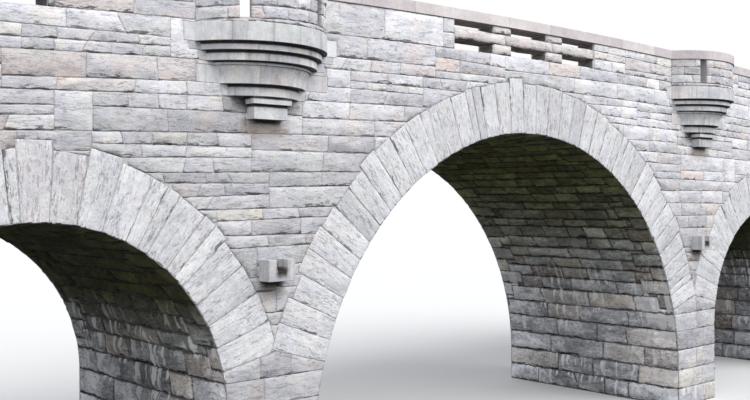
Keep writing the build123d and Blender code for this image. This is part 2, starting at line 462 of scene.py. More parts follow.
class StonePaint:
    """Material of a stone finish, which reads Object coordinates and the marks of each stone.

    A noise is stated by its bumps a metre, its layers and the weight of the finer ones, and an edge by
    the two values between which a layer comes in.
    """

    mottle_noise = (9.0, 5.0, 0.65)
    patch_noise = (4.5, 4.0, 0.6)
    patch_shift = (7.3, 1.9, 4.1)
    fleck_noise = (34.0, 3.0, 0.7)
    relief = (0.50, 0.25, 0.30)
    gloss = 0.12

    cloud_scale = 1.7
    cloud_edge = (0.35, 0.65)
    drift_scale = 1.1
    pink_edge = (0.54, 0.66)
    moss_edge = (0.34, 0.46)
    cream_edge = (-0.4, 0.6)
    warmth = (0.35, 0.7)

    chip_patch = (0.57, 0.70)
    chip_edge = (0.42, 0.60)
    gate_noise = (1.7, 1.0)
    # Painted shadow: jagged dark marks along the lower edges of some stones, where a ledge of rock face
    # would throw its shadow
    gate_shift = (5.1, 3.3, 8.9)
    gate_edge = (0.46, 0.53)
    jag_noise = (6.5, 5.0, 0.68)
    jag_stretch = (0.8, 2.2, 1.0)
    ledge_rise = (0.0, 0.12, 0.13, -0.08)
    ledge_edge = (0.585, 0.63)

    bedded = (0.45, 2.0, 1.0)
    crack_noise = (3.2, 4.0, 0.6)
    crack_width = 0.026
    crack_patch = (0.50, 0.60)
    ragged_noise = (6.0, 3.0, 0.6)
    # Painted shade at the foot of each stone and along its seams
    under_ragged = 6.0
    under_start = -0.01
    seam_breaks = (0.35, 0.55)

    streak_noise = (1.0, 3.0, 0.6)
    streak_stretch = (9.0, 9.0, 0.5)
    streak_edge = (0.48, 0.75)
    # Painted shadow along the top of a stone that sits under another
    ring_shadow_ragged = 0.02
    ring_shadow_edge = (0.034, 0.062)
    # Painted shade that grows lower down and towards the left end
    weather_heights = (4.0, 8.2)
    weather_lean = 0.12

    # Painted shade towards a vault's crown and over the side arches, and painted light by its two mouths
    soot_heights = (1.6, 6.4)
    side_heights = (2.6, 4.4)
    side_soot = 0.7
    side_loss = 0.55
    mouth_reach = 2.2
    mouth_light = (-0.20, 0.50)

    lime_colour = (0.96, 0.96, 0.96)
    lime_edge = (0.52, 0.56)
    lime_head = (-0.03, 0.02)
    lime_fade = 0.7
    lime_depths = (3.2, 2.4)
    cluster_axes = (0.4, 0.9, 1.1)
    cluster_edge = (0.45, 0.49)
    reach_axes = (0.6, 6.0, 0.6)
    reach_edge = (0.35, 0.65, 0.02, 0.46)

    # Ragged edge and fall of a patch, for staining and painted shadows alike
    stain_ragged = 0.5
    stain_full = 0.35
    stain_core = 0.4
    stain_head = 0.03

    # Painted shade on what looks down and on the upright sides of the slots
    soil = (0.045, 0.038, 0.032)
    soil_amount = (0.75, 0.5)
    down = (-0.85, -0.55)
    sideways = (0.80, 0.92)
    slot_depths = (0.05, 0.02)
    above_floor = 0.05
    end_strip = (0.2, 0.1)

    def __init__(self, finish: StoneFinish) -> None:
        """Adds the coordinates, marks and noises that the layers share."""
        self.finish = finish
        self.material, graph, self.place = new_material(finish.slot.value)
        self.graph = graph
        self.x, self.y, self.z = graph.split(self.place)
        self.tone, self.gap, self.low = (self._mark(name) for name in ("tone", "gap", "low"))
        self.local = self._mark("local").out("Vector")
        self.grain = graph.vector("MULTIPLY", self.local, finish.stretch)
        self.mottle = graph.noise(self.grain, *self.mottle_noise)
        self.patch = graph.noise(self.grain, *self.patch_noise, shift=self.patch_shift)
        self.fleck = graph.noise(self.grain, *self.fleck_noise)

    def build(self) -> Material:
        """Lays the layers in order.

        Returns:
            The procedural material.
        """
        finish = self.finish
        self.colour = self.graph.scaled(self._stone(), self._shade())
        if finish.soot:
            self._soot(finish.soot)
        if finish.lime:
            self._lime()
        for stain in finish.stains_and_shadows:
            self._stain(stain)
        self._dirt()
        coarse, middle, fine = self.relief
        rise = self.mottle * coarse + self.patch * middle + self.fleck * fine
        rough = finish.rough + self.mottle.signed() * self.gloss
        self.graph.surface(self.colour, rough, rise, finish.bump)
        return self.material

    def _mark(self, name: str) -> Wire:
        """An attribute that the stones carry."""
        return self.graph.add("ShaderNodeAttribute", output="Fac", attribute_name=name)

    def _cover(self, share: Wire, colour: Triple) -> None:
        """Lays another colour over a share of the stone's."""
        self.colour = self.graph.mix(share, self.colour, colour)

    def _stone(self) -> Wire:
        """Grey, pink or cream, as each stone was drawn, with drifts of pink and of moss.

        Returns:
            The colour of fresh stone.
        """
        finish, mix = self.finish, self.graph.mix
        cloud = self.graph.noise(self.grain, self.cloud_scale)
        drift = self.graph.noise(self.local, self.drift_scale)
        grey = mix(cloud.ease(*self.cloud_edge), finish.cool, finish.pale)
        rosy = mix(self.tone.ease(*self.cream_edge), finish.pink, finish.cream)
        least, more = self.warmth
        share = self._mark("warm") * (least + cloud * more) + drift.ease(*self.pink_edge) * finish.drift
        blend = mix(share.smaller(1.0), grey, rosy)
        return mix(drift.ease(*self.moss_edge, finish.drift, 0.0), blend, finish.moss)

    def _shade(self) -> Wire:
        """How light the stone is at each place.

        Returns:
            A factor for the colour: the stone's own mottle, flecks, chips and cracks, the streaks that
            run down over it, and painted shade: shadow under ledges, shade at its foot and along its
            seams, shadow under a ring above, and shade that grows lower down and to the left.
        """
        finish, noise, grain = self.finish, self.graph.noise, self.grain
        mottle, patch = self.mottle, self.patch
        shade = 1.0 + self.tone * finish.tone + mottle.signed() * (finish.mottle * 2.0)
        shade = shade + self.fleck.signed() * (finish.fleck * 2.0)
        dark = patch.ease(*self.chip_patch) * mottle.ease(*self.chip_edge) * finish.chips
        # Painted shadow: jagged dark marks along the lower edges of some stones, as if thrown by a ledge
        # of rock face
        if finish.ledge:
            gate = noise(grain, *self.gate_noise, shift=self.gate_shift)
            jag = noise(grain, *self.jag_noise, self.jag_stretch) + self.low.ease(*self.ledge_rise)
            dark = dark.larger(jag.ease(*self.ledge_edge) * gate.ease(*self.gate_edge) * finish.ledge)
        line = abs(noise(grain, *self.crack_noise, self.bedded).signed()).fade(0.0, self.crack_width)
        crack = line * patch.fade(*self.crack_patch) * finish.cracks
        ragged = noise(grain, *self.ragged_noise, self.bedded)
        # Painted shade at the foot of each stone, with a ragged top
        dip = self.low + ragged.signed() * (finish.under_height * self.under_ragged)
        under = dip.fade(self.under_start, finish.under_height) * finish.under
        # Painted shade along each stone's seams, broken in places
        seam = self.gap.fade(0.0, finish.seam_width) * ragged.ease(*self.seam_breaks) * finish.seam
        for loss in (dark, crack, under, seam):
            shade = shade * (1.0 - loss)
        if finish.streaks:
            runs = noise(self.place, *self.streak_noise, self.streak_stretch)
            shade = shade * (1.0 - runs.ease(*self.streak_edge) * finish.streaks)
        # Painted shadow: a dark band along the top of a stone that sits under another
        if finish.ring_shadow:
            covered = self.gap + mottle.signed() * self.ring_shadow_ragged
            shade = shade * (1.0 - covered.fade(*self.ring_shadow_edge) * finish.ring_shadow)
        # Painted shade: the colour darkens lower down and towards the left end
        if finish.weather:
            height = self.z + self.x * self.weather_lean
            shade = shade * height.ease(*self.weather_heights, *finish.weather)
        return shade

    def _soot(self, colour: Triple) -> None:
        """Painted shade: darkens the stone with an olive tint towards the crown of a vault and over the
        side arches, and painted light leaves it paler by its two mouths.
        """
        side = self.graph.math("GREATER_THAN", abs(self.x), BRIDGE.pier_axis)
        beside = side * self.z.ease(*self.side_heights) * self.side_soot
        share = (self.z.ease(*self.soot_heights) + beside).smaller(1.0)
        mouth = abs(self.y).ease(BRIDGE.face - self.mouth_reach, BRIDGE.face, *self.mouth_light)
        light = (1.0 + mouth * (1.0 - share)) * (1.0 - side * share * self.side_loss)
        black = self.graph.mix(share, (1.0, 1.0, 1.0), colour)
        self.colour = self.graph.scaled(self.graph.vector("MULTIPLY", self.colour, black), light)

    def _lime(self) -> None:
        """Adds the white lime that runs down from the joints near the springing."""
        finish, noise, top = self.finish, self.graph.noise, self.finish.lime_top
        thin = noise(self.place, 1.0, stretch=finish.lime_axes)
        cluster = noise(self.place, 1.0, 1.0, stretch=self.cluster_axes)
        reach = noise(self.place, 1.0, stretch=self.reach_axes)
        high = self._mark("high") - reach.ease(*self.reach_edge)
        amount = thin.ease(*self.lime_edge) * cluster.ease(*self.cluster_edge) * high.fade(*self.lime_head)
        amount = amount * self.z.fade(top * self.lime_fade, top)
        amount = amount * abs(self.y).ease(*(BRIDGE.face - depth for depth in self.lime_depths))
        self._cover(amount * finish.lime, self.lime_colour)

    def _stain(self, stain: Stain) -> None:
        """Lays one patch, real staining and painted shadow alike, with a ragged edge."""
        spread = self.mottle.signed() * self.stain_ragged
        across = abs(abs(self.x) - stain.axis) + spread * stain.half
        fall = self.z + spread * stain.length
        fall = fall.ease(stain.top - stain.length, stain.top - stain.length * self.stain_full)
        share = across.fade(stain.half * self.stain_core, stain.half) * fall
        head = self.z.fade(stain.top, stain.top + self.stain_head)
        self._cover(share * head * stain.strength, stain.colour)

    def _dirt(self) -> None:
        """Lays painted shade on what looks down, and on the sides of the slots."""
        along, _, up = self.graph.split(self.graph.add("ShaderNodeNewGeometry", output="Normal"))
        shade_share = up.fade(*self.down)
        if self.finish.slot is Slot.ROUGH:
            inner = abs(self.y).fade(*(BRIDGE.face - depth for depth in self.slot_depths))
            high = self.z.ease(BRIDGE.floor_level, BRIDGE.floor_level + self.above_floor)
            within = abs(self.x).fade(*(BRIDGE.half_length - strip for strip in self.end_strip))
            shade_share = shade_share + abs(along).ease(*self.sideways) * inner * high * within
        least, more = self.soil_amount
        self._cover(shade_share.smaller(1.0) * (least + self.mottle * more) * self.finish.underside_shade, self.soil)


@dataclass(frozen=True)
class PlainFinish:
    """Mortar or gravel, which carries no marks of its own."""

    name: str
    dark: Triple
    light: Triple
    scale: float
    bump: float
    vault_shade: float = 1.0
    rough: float = 0.95
    fine_layers: Pair = (5.0, 0.7)
    broad_noise: Pair = (1.3, 3.0)
    parts: Pair = (0.7, 0.3)
    edge: Pair = (0.38, 0.62)
    face_strip: Pair = (0.02, 0.01)
    end_strip: Pair = (0.1, 0.05)
    below_floor: float = 0.5
    vault_heights: Pair = (0.6, 5.6)
    low_shade: float = 0.55

    def build(self) -> Material:
        """Material that reads Object coordinates.

        Returns:
            The procedural material.
        """
        material, graph, place = new_material(self.name)
        fine = graph.noise(place, self.scale, *self.fine_layers)
        most, rest = self.parts
        share = (fine * most + graph.noise(place, *self.broad_noise) * rest).ease(*self.edge)
        colour = graph.mix(share, self.dark, self.light)
        if self.vault_shade != 1.0:
            colour = graph.scaled(colour, self._under_arches(*graph.split(place)))
        graph.surface(colour, self.rough, fine, self.bump)
        return material

    def _under_arches(self, along: Wire, across: Wire, height: Wire) -> Wire:
        """Painted shade: darkens what lies under an arch and between the faces, more towards the crown."""
        within = abs(across).fade(*(BRIDGE.face - strip for strip in self.face_strip))
        within = within * abs(along).fade(*(BRIDGE.half_length - strip for strip in self.end_strip))
        within = within * height.graph.math("LESS_THAN", height, BRIDGE.floor_level - self.below_floor)
        return 1.0 - within * height.ease(*self.vault_heights, self.low_shade, 1.0 - self.vault_shade)


BALCONY, PIER = BRIDGE.balcony_axis, BRIDGE.pier_axis
BLOCK_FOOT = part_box("balcony_corbel_front_left")[0].z
SPOUT_FOOT, SPOUT_TOP = (corner.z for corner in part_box("spouts_front"))
# Patches on the rough wall: the brown ones are real staining, and the near-black ones are painted shadows
WALL_STAINS_AND_SHADOWS = (
    Stain(BALCONY, BLOCK_FOOT, 0.66, 0.44, 0.65, (0.34, 0.26, 0.20)),
    # Painted shadow right under the balcony blocks
    Stain(BALCONY, BLOCK_FOOT, 0.40, 0.09, 1.0, (0.05, 0.045, 0.04)),
    # Painted shadow under the foot ring, beside the blocks
    Stain(BALCONY, BLOCK_FOOT + 0.39, 0.98, 0.34, 1.0, (0.055, 0.05, 0.045)),
    Stain(PIER, SPOUT_FOOT, 0.34, 0.45, 0.60),
    # Painted shadow right under the spouts
    Stain(PIER, SPOUT_FOOT, 0.30, 0.16, 1.0, (0.045, 0.045, 0.035)),
)
SPOUT_STAINS = (
    Stain(PIER, SPOUT_TOP - 0.10, 0.13, 0.12, 0.9, (0.20, 0.12, 0.07)),
    Stain(PIER, SPOUT_TOP - 0.15, 0.17, 0.22, 1.0, (0.035, 0.025, 0.018)),
)
FINISHES = (
    # Rough stone: painted shadow under ledges; painted shade at each stone's foot, along its seams, on
    # what looks down, and lower down and to the left; real staining and painted shadows under the blocks
    # and spouts
    StoneFinish(
        Slot.ROUGH, cool=(0.66, 0.655, 0.705), pale=(0.81, 0.80, 0.83),
        drift=0.45, lime=0.6, lime_top=0.9, weather=(0.80, 1.12), stains_and_shadows=WALL_STAINS_AND_SHADOWS,
    ),
    # Ring stone: painted shadow under ledges; painted shade at each stone's foot, along its seams and on
    # what looks down
    StoneFinish(
        Slot.RING, cool=(0.72, 0.72, 0.76), pale=(0.83, 0.83, 0.85), stretch=(0.85, 1.3, 1.0),
        drift=0.20, mottle=0.36, fleck=0.34, tone=0.06, ledge=0.70, cracks=0.50, under=0.45,
    ),
    # Vault stone: painted shadow under ledges; painted shade at each stone's foot and along its seams,
    # deepening towards the crown, and painted light by the mouths
    StoneFinish(
        Slot.VAULT, cool=(0.48, 0.48, 0.52), pale=(0.88, 0.89, 0.95),
        pink=(0.60, 0.48, 0.41), cream=(0.72, 0.65, 0.57), soot=(0.24, 0.26, 0.09),
        mottle=1.10, fleck=1.00, tone=0.22, chips=0.75, seam=0.85, seam_width=0.030,
        under=0.96, under_height=0.075, underside_shade=0.0,
        lime=1.0, lime_axes=(0.0, 7.0, 0.25), lime_top=4.0,
    ),
    # Corbel and spout stone: painted shadow under each ring above; painted shade on what looks down and
    # lower down; real staining in the spouts
    StoneFinish(
        Slot.CORBEL, cool=(0.56, 0.57, 0.605), pale=(0.72, 0.72, 0.735),
        drift=0.40, mottle=0.26, fleck=0.22, tone=0.07, chips=0.22, ledge=0.0, cracks=0.10,
        seam=0.0, under=0.0, underside_shade=0.97, bump=0.005, streaks=0.32, ring_shadow=0.93,
        weather=(0.93, 1.18), stains_and_shadows=SPOUT_STAINS,
    ),
    # Coping stone: painted shade on what looks down
    StoneFinish(
        Slot.COPING, cool=(0.68, 0.62, 0.635), pale=(0.80, 0.74, 0.755),
        mottle=0.20, fleck=0.24, tone=0.09, chips=0.18, ledge=0.0, cracks=0.0,
        seam=0.0, under=0.0, bump=0.006,
    ),
)
# Mortar, with painted shade under the arches
MORTAR = PlainFinish("mortar", (0.50, 0.49, 0.50), (0.64, 0.63, 0.64), 30.0, 0.006, 0.10)
GRAVEL = PlainFinish("gravel", (0.44, 0.40, 0.36), (0.66, 0.62, 0.56), 55.0, 0.012)


# Outlines on a laid-out face


def dense(corners: Array, spacing: float = 0.12) -> Array:
    """Points round a closed outline, no further apart than the spacing."""
    runs = []
    for start, end in zip(corners, np.roll(corners, -1, axis=0)):
        count = max(1, math.ceil(float(np.linalg.norm(end - start)) / spacing))
        runs.append(start + (end - start) * (np.arange(count) / count)[:, None])
    return np.vstack(runs)


def inset(outline: Array, distance: float) -> Array:
    """A counter-clockwise outline, moved inwards by a distance."""

    def inward(edge: Array) -> Array:
        """Unit vectors to the left of some edges."""
        left = np.stack((-edge[:, 1], edge[:, 0]), axis=1)
        return left / np.linalg.norm(left, axis=1)[:, None]

    before = inward(outline - np.roll(outline, 1, axis=0))
    after = inward(np.roll(outline, -1, axis=0) - outline)
    mitre = (before + after) / np.maximum(1 + (before * after).sum(axis=1), 0.3)[:, None]
    return outline + mitre * distance


def inside(points: Array, outline: Array) -> Array:
    """Which points lie inside a closed outline."""
    x, y = points[:, 0, None], points[:, 1, None]
    x0, y0 = outline.T
    x1, y1 = np.roll(outline, -1, axis=0).T
    steep = np.where(y1 == y0, 1.0, y1 - y0)
    crossed = ((y0 > y) != (y1 > y)) & (x < x0 + (y - y0) * (x1 - x0) / steep)
    return crossed.sum(axis=1) % 2 == 1


def distance_to(points: Array, starts: Array, ends: Array) -> Array:
    """Distance from each point to the nearest of some straight edges."""
    span = ends - starts
    length = np.maximum((span**2).sum(axis=1), 1e-12)
    share = np.clip(((points[:, None] - starts) * span).sum(axis=2) / length, 0.0, 1.0)
    foot = starts + share[..., None] * span
    return np.sqrt(((points[:, None] - foot) ** 2).sum(axis=2)).min(axis=1)


def rectangle(left: float, right: float, low: float, high: float) -> Array:
    """Corners of an upright rectangle, counter-clockwise."""
    return np.array([(left, low), (right, low), (right, high), (left, high)])


def counter_clockwise(outline: Array) -> Array:
    """The outline, turned round if it runs clockwise."""
    x, y = outline.T
    area = (x * np.roll(y, -1) - np.roll(x, -1) * y).sum()
    return outline if area > 0 else outline[::-1]


def uneven(start: float, end: float, parts: Array) -> Array:
    """Ends of the parts of a length that is shared out in some proportions."""
    return start + np.concatenate(([0.0], np.cumsum(parts))) / parts.sum() * (end - start)


def settle(x: Array, level: Array) -> Array:
    """Height at which a course lies: level at the piers, and following the crown at the road."""
    follow = np.clip((level - BRIDGE.head) / (BRIDGE.kerb_level - 0.4 - BRIDGE.head), 0.0, 1.0)
    return np.maximum(level - BRIDGE.drop(x) * follow, 0.0)


def leveled(corners: Array) -> Array:
    """Places with true heights, turned into the levels that settle to those heights."""
    x, z = corners.T
    level = z.copy()
    for _ in range(12):
        level = level + z - settle(x, level)
    return np.stack((x, level), axis=1)


# Surfaces that stones are laid on


class Surface:
    """Turns places on a laid-out face into points and outward directions."""

    turned = False
    upright = True

    def place(self, flat: Array) -> tuple[Array, Array]:
        """Points and outward vectors of some places.

        Args:
            flat: Places on the laid-out face, one row each.

        Returns:
            Points in the frame, and the outward direction at each.
        """
        raise NotImplementedError


@dataclass
class Upright(Surface):
    """An upright face along X or Y, with the length along it and the height at the crown as places."""

    along: int
    at: float
    looks: int

    def __post_init__(self) -> None:
        """A face that looks to +Y or to -X is seen from its other side."""
        self.turned = (self.looks > 0) == (self.along == 0)

    def place(self, flat: Array) -> tuple[Array, Array]:
        """See Surface."""
        run, level = flat.T
        x, y = (run, np.full_like(run, self.at))[:: 1 - 2 * self.along]
        outward = np.zeros((len(run), 3))
        outward[:, 1 - self.along] = self.looks
        return np.stack((x, y, settle(x, level)), axis=1), outward


@dataclass
class TopFace(Surface):
    """A face that looks up and follows the crown, with x and y as its places."""

    level: float
    upright = False

    def place(self, flat: Array) -> tuple[Array, Array]:
        """See Surface."""
        x, y = flat.T
        points = np.stack((x, y, self.level - BRIDGE.drop(x)), axis=1)
        return points, np.tile((0.0, 0.0, 1.0), (len(x), 1))


@dataclass
class Barrel(Surface):
    """Underside of an arch and the upright faces below it, as one sheet seen from its middle.

    Its places are y, and the length round the curve from the springing on the right, which is
    negative on the upright face below it. Its stones lie flatter beside the two mouths.
    """

    arch: Arch
    turned = True

    def place(self, flat: Array) -> tuple[Array, Array]:
        """See Surface."""
        y, run = flat.T
        arch = self.arch
        end = math.pi * arch.radius
        angle = np.clip(run, 0.0, end) / arch.radius
        below = np.minimum(run, 0.0) + np.minimum(end - run, 0.0)
        x, z = arch.at(angle, arch.radius).T
        points = np.stack((x, y, np.maximum(z + below, 0.0)), axis=1)
        outward = np.stack((-np.cos(angle), np.zeros_like(angle), -np.sin(angle)), axis=1)
        flatter = np.interp(abs(y), (BRIDGE.face - 0.55, BRIDGE.face - 0.03), (1.0, 0.3))
        return points, outward * flatter[:, None]


@dataclass
class Drum(Surface):
    """Round wall of a balcony, with the length round it and the height at the crown as places."""

    x: float
    y: float
    radius: float
    looks: int
    hollow: bool

    def __post_init__(self) -> None:
        """The inner face and the back face are each seen from the other side."""
        self.turned = (self.looks > 0) != self.hollow

    def place(self, flat: Array) -> tuple[Array, Array]:
        """See Surface."""
        run, level = flat.T
        angle = run / self.radius
        across, out = np.sin(angle), np.cos(angle) * self.looks
        x = self.x + self.radius * across
        points = np.stack((x, self.y + self.radius * out, settle(x, level)), axis=1)
        outward = np.stack((across, out, np.zeros_like(out)), axis=1)
        return points, -outward if self.hollow else outward


# Stones


@dataclass
class Stones:
    """Closed stones gathered into one mesh, with the marks that the trees and finishes read."""

    name: str
    seed: int

    def __post_init__(self) -> None:
        """Starts empty, with the seeded draws of this piece."""
        self.rng = np.random.default_rng(self.seed)
        self.count = 0
        self.points: list[Array] = []
        self.faces: list[Sequence[int]] = []
        self.smooth: list[bool] = []
        self.marks: dict[str, list[Array]] = {}

    def offset(self) -> Array:
        """Where in the rock the next stone is cut from, so that no two look the same."""
        return self.rng.uniform(0.0, 60.0, 3)

    def gather(
        self, points: Array, faces: list[Sequence[int]], marks: dict[str, Array], smooth: int = 0
    ) -> None:
        """Adds one stone.

        Args:
            points: Its corner points.
            faces: Corners of its faces, counted from its own first point.
            marks: Attributes at its points.
            smooth: How many of its faces, from the first, are shaded smooth.
        """
        self.points.append(points)
        self.faces += [[self.count + v for v in face] for face in faces]
        self.smooth += [number < smooth for number in range(len(faces))]
        for key, values in marks.items():
            self.marks.setdefault(key, []).append(values)
        self.count += len(points)

    def mesh(self) -> bpy.types.Object:
        """The stones as one object."""
        marks = {key: np.concatenate(values) for key, values in self.marks.items()}
        return mesh_object(self.name, np.vstack(self.points), self.faces, marks, self.smooth)


@dataclass(frozen=True)
class Dressing:
    """How the rock-faced stones of one piece are cut.

    The first row of inner points, their scatter and their distance from the lip are in grains.
    """

    joint: float = 0.005
    close: float = 0.003
    seat: float = 0.035
    grain: float = 0.080
    first_row: float = 0.6
    scatter: float = 0.32
    guard: float = 0.45
    lip: float = 0.020
    wobble: float = 0.004
    proud: Pair = (0.006, 0.030)
    tilt: float = 0.45
    warm: float = 0.11
    pink: Pair = (0.5, 1.0)
    tone: float = 0.0
    tone_limit: float = 1.7
    smallest: float = 0.012


@dataclass
class RockStones(Stones):
    """Stones whose faces the rock face tree breaks."""

    dressing: Dressing = Dressing()

    def lay_all(self, outlines: Iterable[Array], surface: Surface, cutters: Sequence[Array]) -> None:
        """Adds one stone for each outline."""
        for corners in outlines:
            self.lay(corners, surface, cutters)

    def lay(
        self,
        corners: Array,
        surface: Surface,
        cutters: Sequence[Array] = (),
        axes: Array = np.eye(2),
    ) -> None:
        """Adds one stone, trimmed by the openings and rings that it meets.

        Args:
            corners: Outline of the stone with half a joint round it, counter-clockwise.
            surface: Surface that it is laid on.
            cutters: Outlines that take stone away.
            axes: Directions along and up from the stone's bed.
        """
        dress, rng = self.dressing, self.rng
        ahead = np.sign((corners - corners.mean(axis=0)) @ axes[0])
        corners = corners + ahead[:, None] * axes[0] * dress.close
        edge = dense(inset(corners, dress.joint), dress.grain)
        edge = edge + rng.normal(0.0, dress.wobble, edge.shape)
        swell = rng.uniform(*dress.proud)
        tilt = rng.uniform(-dress.tilt, dress.tilt, 2)
        offset = self.offset()
        tone = float(np.clip(rng.normal(dress.tone, 1.0), -dress.tone_limit, dress.tone_limit))
        warm = self._warmth()
        near = self._cutting(edge, cutters)
        if near is None:
            return
        flat, triangles = self._triangles(edge, near)
        if not len(triangles):
            return
        a, b, c = (flat[triangles[:, k]] for k in range(3))
        (ax, ay), (bx, by) = (b - a).T, (c - a).T
        if abs(ax * by - ay * bx).sum() / 2 < dress.smallest:
            return
        rim = self._rim(triangles)
        points, outward = surface.place(flat)
        low, high = flat.min(axis=0), flat.max(axis=0)
        share = (flat - low) / (high - low) * 2.0 - 1.0
        grain, rise = flat @ axes.T, edge @ axes[1]
        marks = {
            "out": outward,
            "gap": distance_to(flat, flat[rim[:, 0]], flat[rim[:, 1]]),
            "low": grain[:, 1] - rise.min() if surface.upright else np.ones(len(flat)),
            "high": rise.max() - grain[:, 1],
            "proud": swell * (1.0 + share @ tilt),
            "local": np.column_stack((grain, np.zeros(len(flat)))) + offset,
            "tone": np.full(len(flat), tone),
            "warm": np.full(len(flat), warm),
        }
        self._close(points, triangles, rim, marks, surface.turned)

    def _warmth(self) -> float:
        """How pink a stone is, which most are not."""
        return self.rng.uniform(*self.dressing.pink) if self.rng.random() < self.dressing.warm else 0.0

    def _cutting(self, edge: Array, cutters: Sequence[Array]) -> list[Array] | None:
        """The cutters that reach into a stone, or None where one swallows it."""
        low, high = edge.min(axis=0), edge.max(axis=0)
        near = []
        for cutter in cutters:
            if (cutter.max(axis=0) < low).any() or (cutter.min(axis=0) > high).any():
                continue
            covered = inside(edge, cutter)
            if covered.all():
                return None
            if covered.any() or inside(cutter, edge).any():
                near.append(cutter)
        return near

    def _triangles(self, edge: Array, near: list[Array]) -> tuple[Array, Array]:
        """Triangles of a stone's face.

        Args:
            edge: Its rim, point by point.
            near: Outlines that cut it.

        Returns:
            Places on the laid-out face, and the corners of the triangles.
        """
        dress, grain = self.dressing, self.dressing.grain
        extents = zip(edge.min(axis=0), edge.max(axis=0))
        axes = [np.arange(low + grain * dress.first_row, high, grain) for low, high in extents]
        grid = np.stack(np.meshgrid(*axes), axis=-1).reshape(-1, 2)
        grid = grid + self.rng.uniform(-dress.scatter, dress.scatter, grid.shape) * grain
        if len(grid):
            rim = distance_to(grid, edge, np.roll(edge, -1, axis=0))
            grid = grid[inside(grid, edge) & (rim > dress.lip + grain * dress.guard)]
        loops = [edge, *near]
        ends = np.cumsum([len(loop) for loop in loops])
        rings = [list(range(end - len(loop), end)) for loop, end in zip(loops, ends)]
        inputs = [Vector(p) for p in np.vstack([*loops, inset(edge, dress.lip), grid]).tolist()]
        made = delaunay_2d_cdt(inputs, [], rings, 1, 1e-6)
        kept = [face for face, owners in zip(made[2], made[5]) if owners == [0]]
        if not kept:
            return np.zeros((0, 2)), np.zeros((0, 3), int)
        used, corners = np.unique(np.array(kept), return_inverse=True)
        return np.array([made[0][i][:] for i in used]), corners.reshape(-1, 3)

    def _rim(self, triangles: Array) -> Array:
        """Starts and ends of the edges that only one triangle has."""
        edges = np.vstack([triangles[:, pair] for pair in ((0, 1), (1, 2), (2, 0))]).tolist()
        known = {tuple(edge) for edge in edges}
        return np.array([edge for edge in edges if (edge[1], edge[0]) not in known])

    def _close(
        self, points: Array, triangles: Array, rim: Array, marks: dict[str, Array], turned: bool
    ) -> None:
        """Adds a stone's face with its sides and its back.

        Args:
            points: Points of the face.
            triangles: Corners of the face's triangles.
            rim: Starts and ends of its rim edges.
            marks: Attributes at the points.
            turned: Whether the laid-out face is seen from its other side.
        """
        seated = np.unique(rim[:, 0])
        behind = {int(v): len(points) + i for i, v in enumerate(seated)}
        faces = triangles.tolist()
        faces += [(end, start, behind[start], behind[end]) for start, end in rim.tolist()]
        faces += [[behind[v] for v in reversed(loop)] for loop in self._loops(rim)]
        if turned:
            faces = [face[::-1] for face in faces]
        back = {key: values[seated] for key, values in marks.items()}
        points = np.vstack((points, points[seated] - back["out"] * self.dressing.seat))
        for key in ("out", "gap", "proud"):
            back[key] = np.zeros_like(back[key])
        marks = {key: np.concatenate((values, back[key])) for key, values in marks.items()}
        self.gather(points, faces, marks, len(triangles))

    def _loops(self, rim: Array) -> list[list[int]]:
        """Closed loops of the rim edges, each in order."""
        following: dict[int, list[int]] = {}
        for start, end in rim.tolist():
            following.setdefault(start, []).append(end)
        loops = []
        while following:
            first = here = next(iter(following))
            loop = []
            while here in following:
                loop.append(here)
                onward = following[here]
                step = onward.pop()
                if not onward:
                    del following[here]
                here = step
                if here == first:
                    break
            loops.append(loop)
        return loops

    def block(self, low: Array, high: Array, proud: float) -> None:
        """Adds a stone that shows on all its sides.

        Args:
            low: Lowest corner, with its height above the road.
            high: Highest corner.
            proud: How far its faces swell.
        """
        size = high - low
        counts = np.maximum(np.ceil(size / self.dressing.grain).astype(int), 2)
        found = []
        for axis in range(3):
            u, v = (axis + 1) % 3, (axis + 2) % 3
            cells = np.stack(np.meshgrid(np.arange(counts[u]), np.arange(counts[v])), axis=-1)
            square = cells.reshape(-1, 1, 2) + ((0, 0), (1, 0), (1, 1), (0, 1))
            for level, order in ((0, -1), (counts[axis], 1)):
                corners = np.full((len(square), 4, 3), level)
                corners[..., [u, v]] = square
                found.append(corners[:, ::order])
        lattice, faces = np.unique(np.vstack(found).reshape(-1, 3), axis=0, return_inverse=True)
        lattice = lattice / counts
        spread = lattice * size
        outward = np.where(lattice < 1e-9, -1.0, 0.0) + np.where(lattice > 1 - 1e-9, 1.0, 0.0)
        points = low + spread
        local = points[:, (0, 2, 1)] + self.offset()
        points[:, 2] += BRIDGE.road - BRIDGE.drop(points[:, 0])
        warm = self._warmth()
        marks = {
            "out": outward / np.linalg.norm(outward, axis=1)[:, None],
            "gap": np.sort(np.minimum(spread, size - spread), axis=1)[:, 1],
            "low": spread[:, 2],
            "high": size[2] - spread[:, 2],
            "proud": np.full(len(points), proud),
            "local": local,
            "tone": np.full(len(points), self.rng.normal(self.dressing.tone, 0.5)),
            "warm": np.full(len(points), warm),
        }
        faces = faces.reshape(-1, 4).tolist()
        self.gather(points, faces, marks, len(faces))

    def finish(self, kit: "Kit", slot: Slot, *replaced: str, **values: float) -> None:
        """Breaks the faces and ties the stones to the bridge.

        Args:
            kit: The trees and finishes.
            slot: Slot of the finish.
            *replaced: Nodes that the stones stand for.
            **values: Inputs of the tree that differ from its defaults.
        """
        piece = self.mesh()
        run_tree(piece, kit.rock, Material=kit.finishes[slot], **values)
        join_part(piece, slot, *replaced)


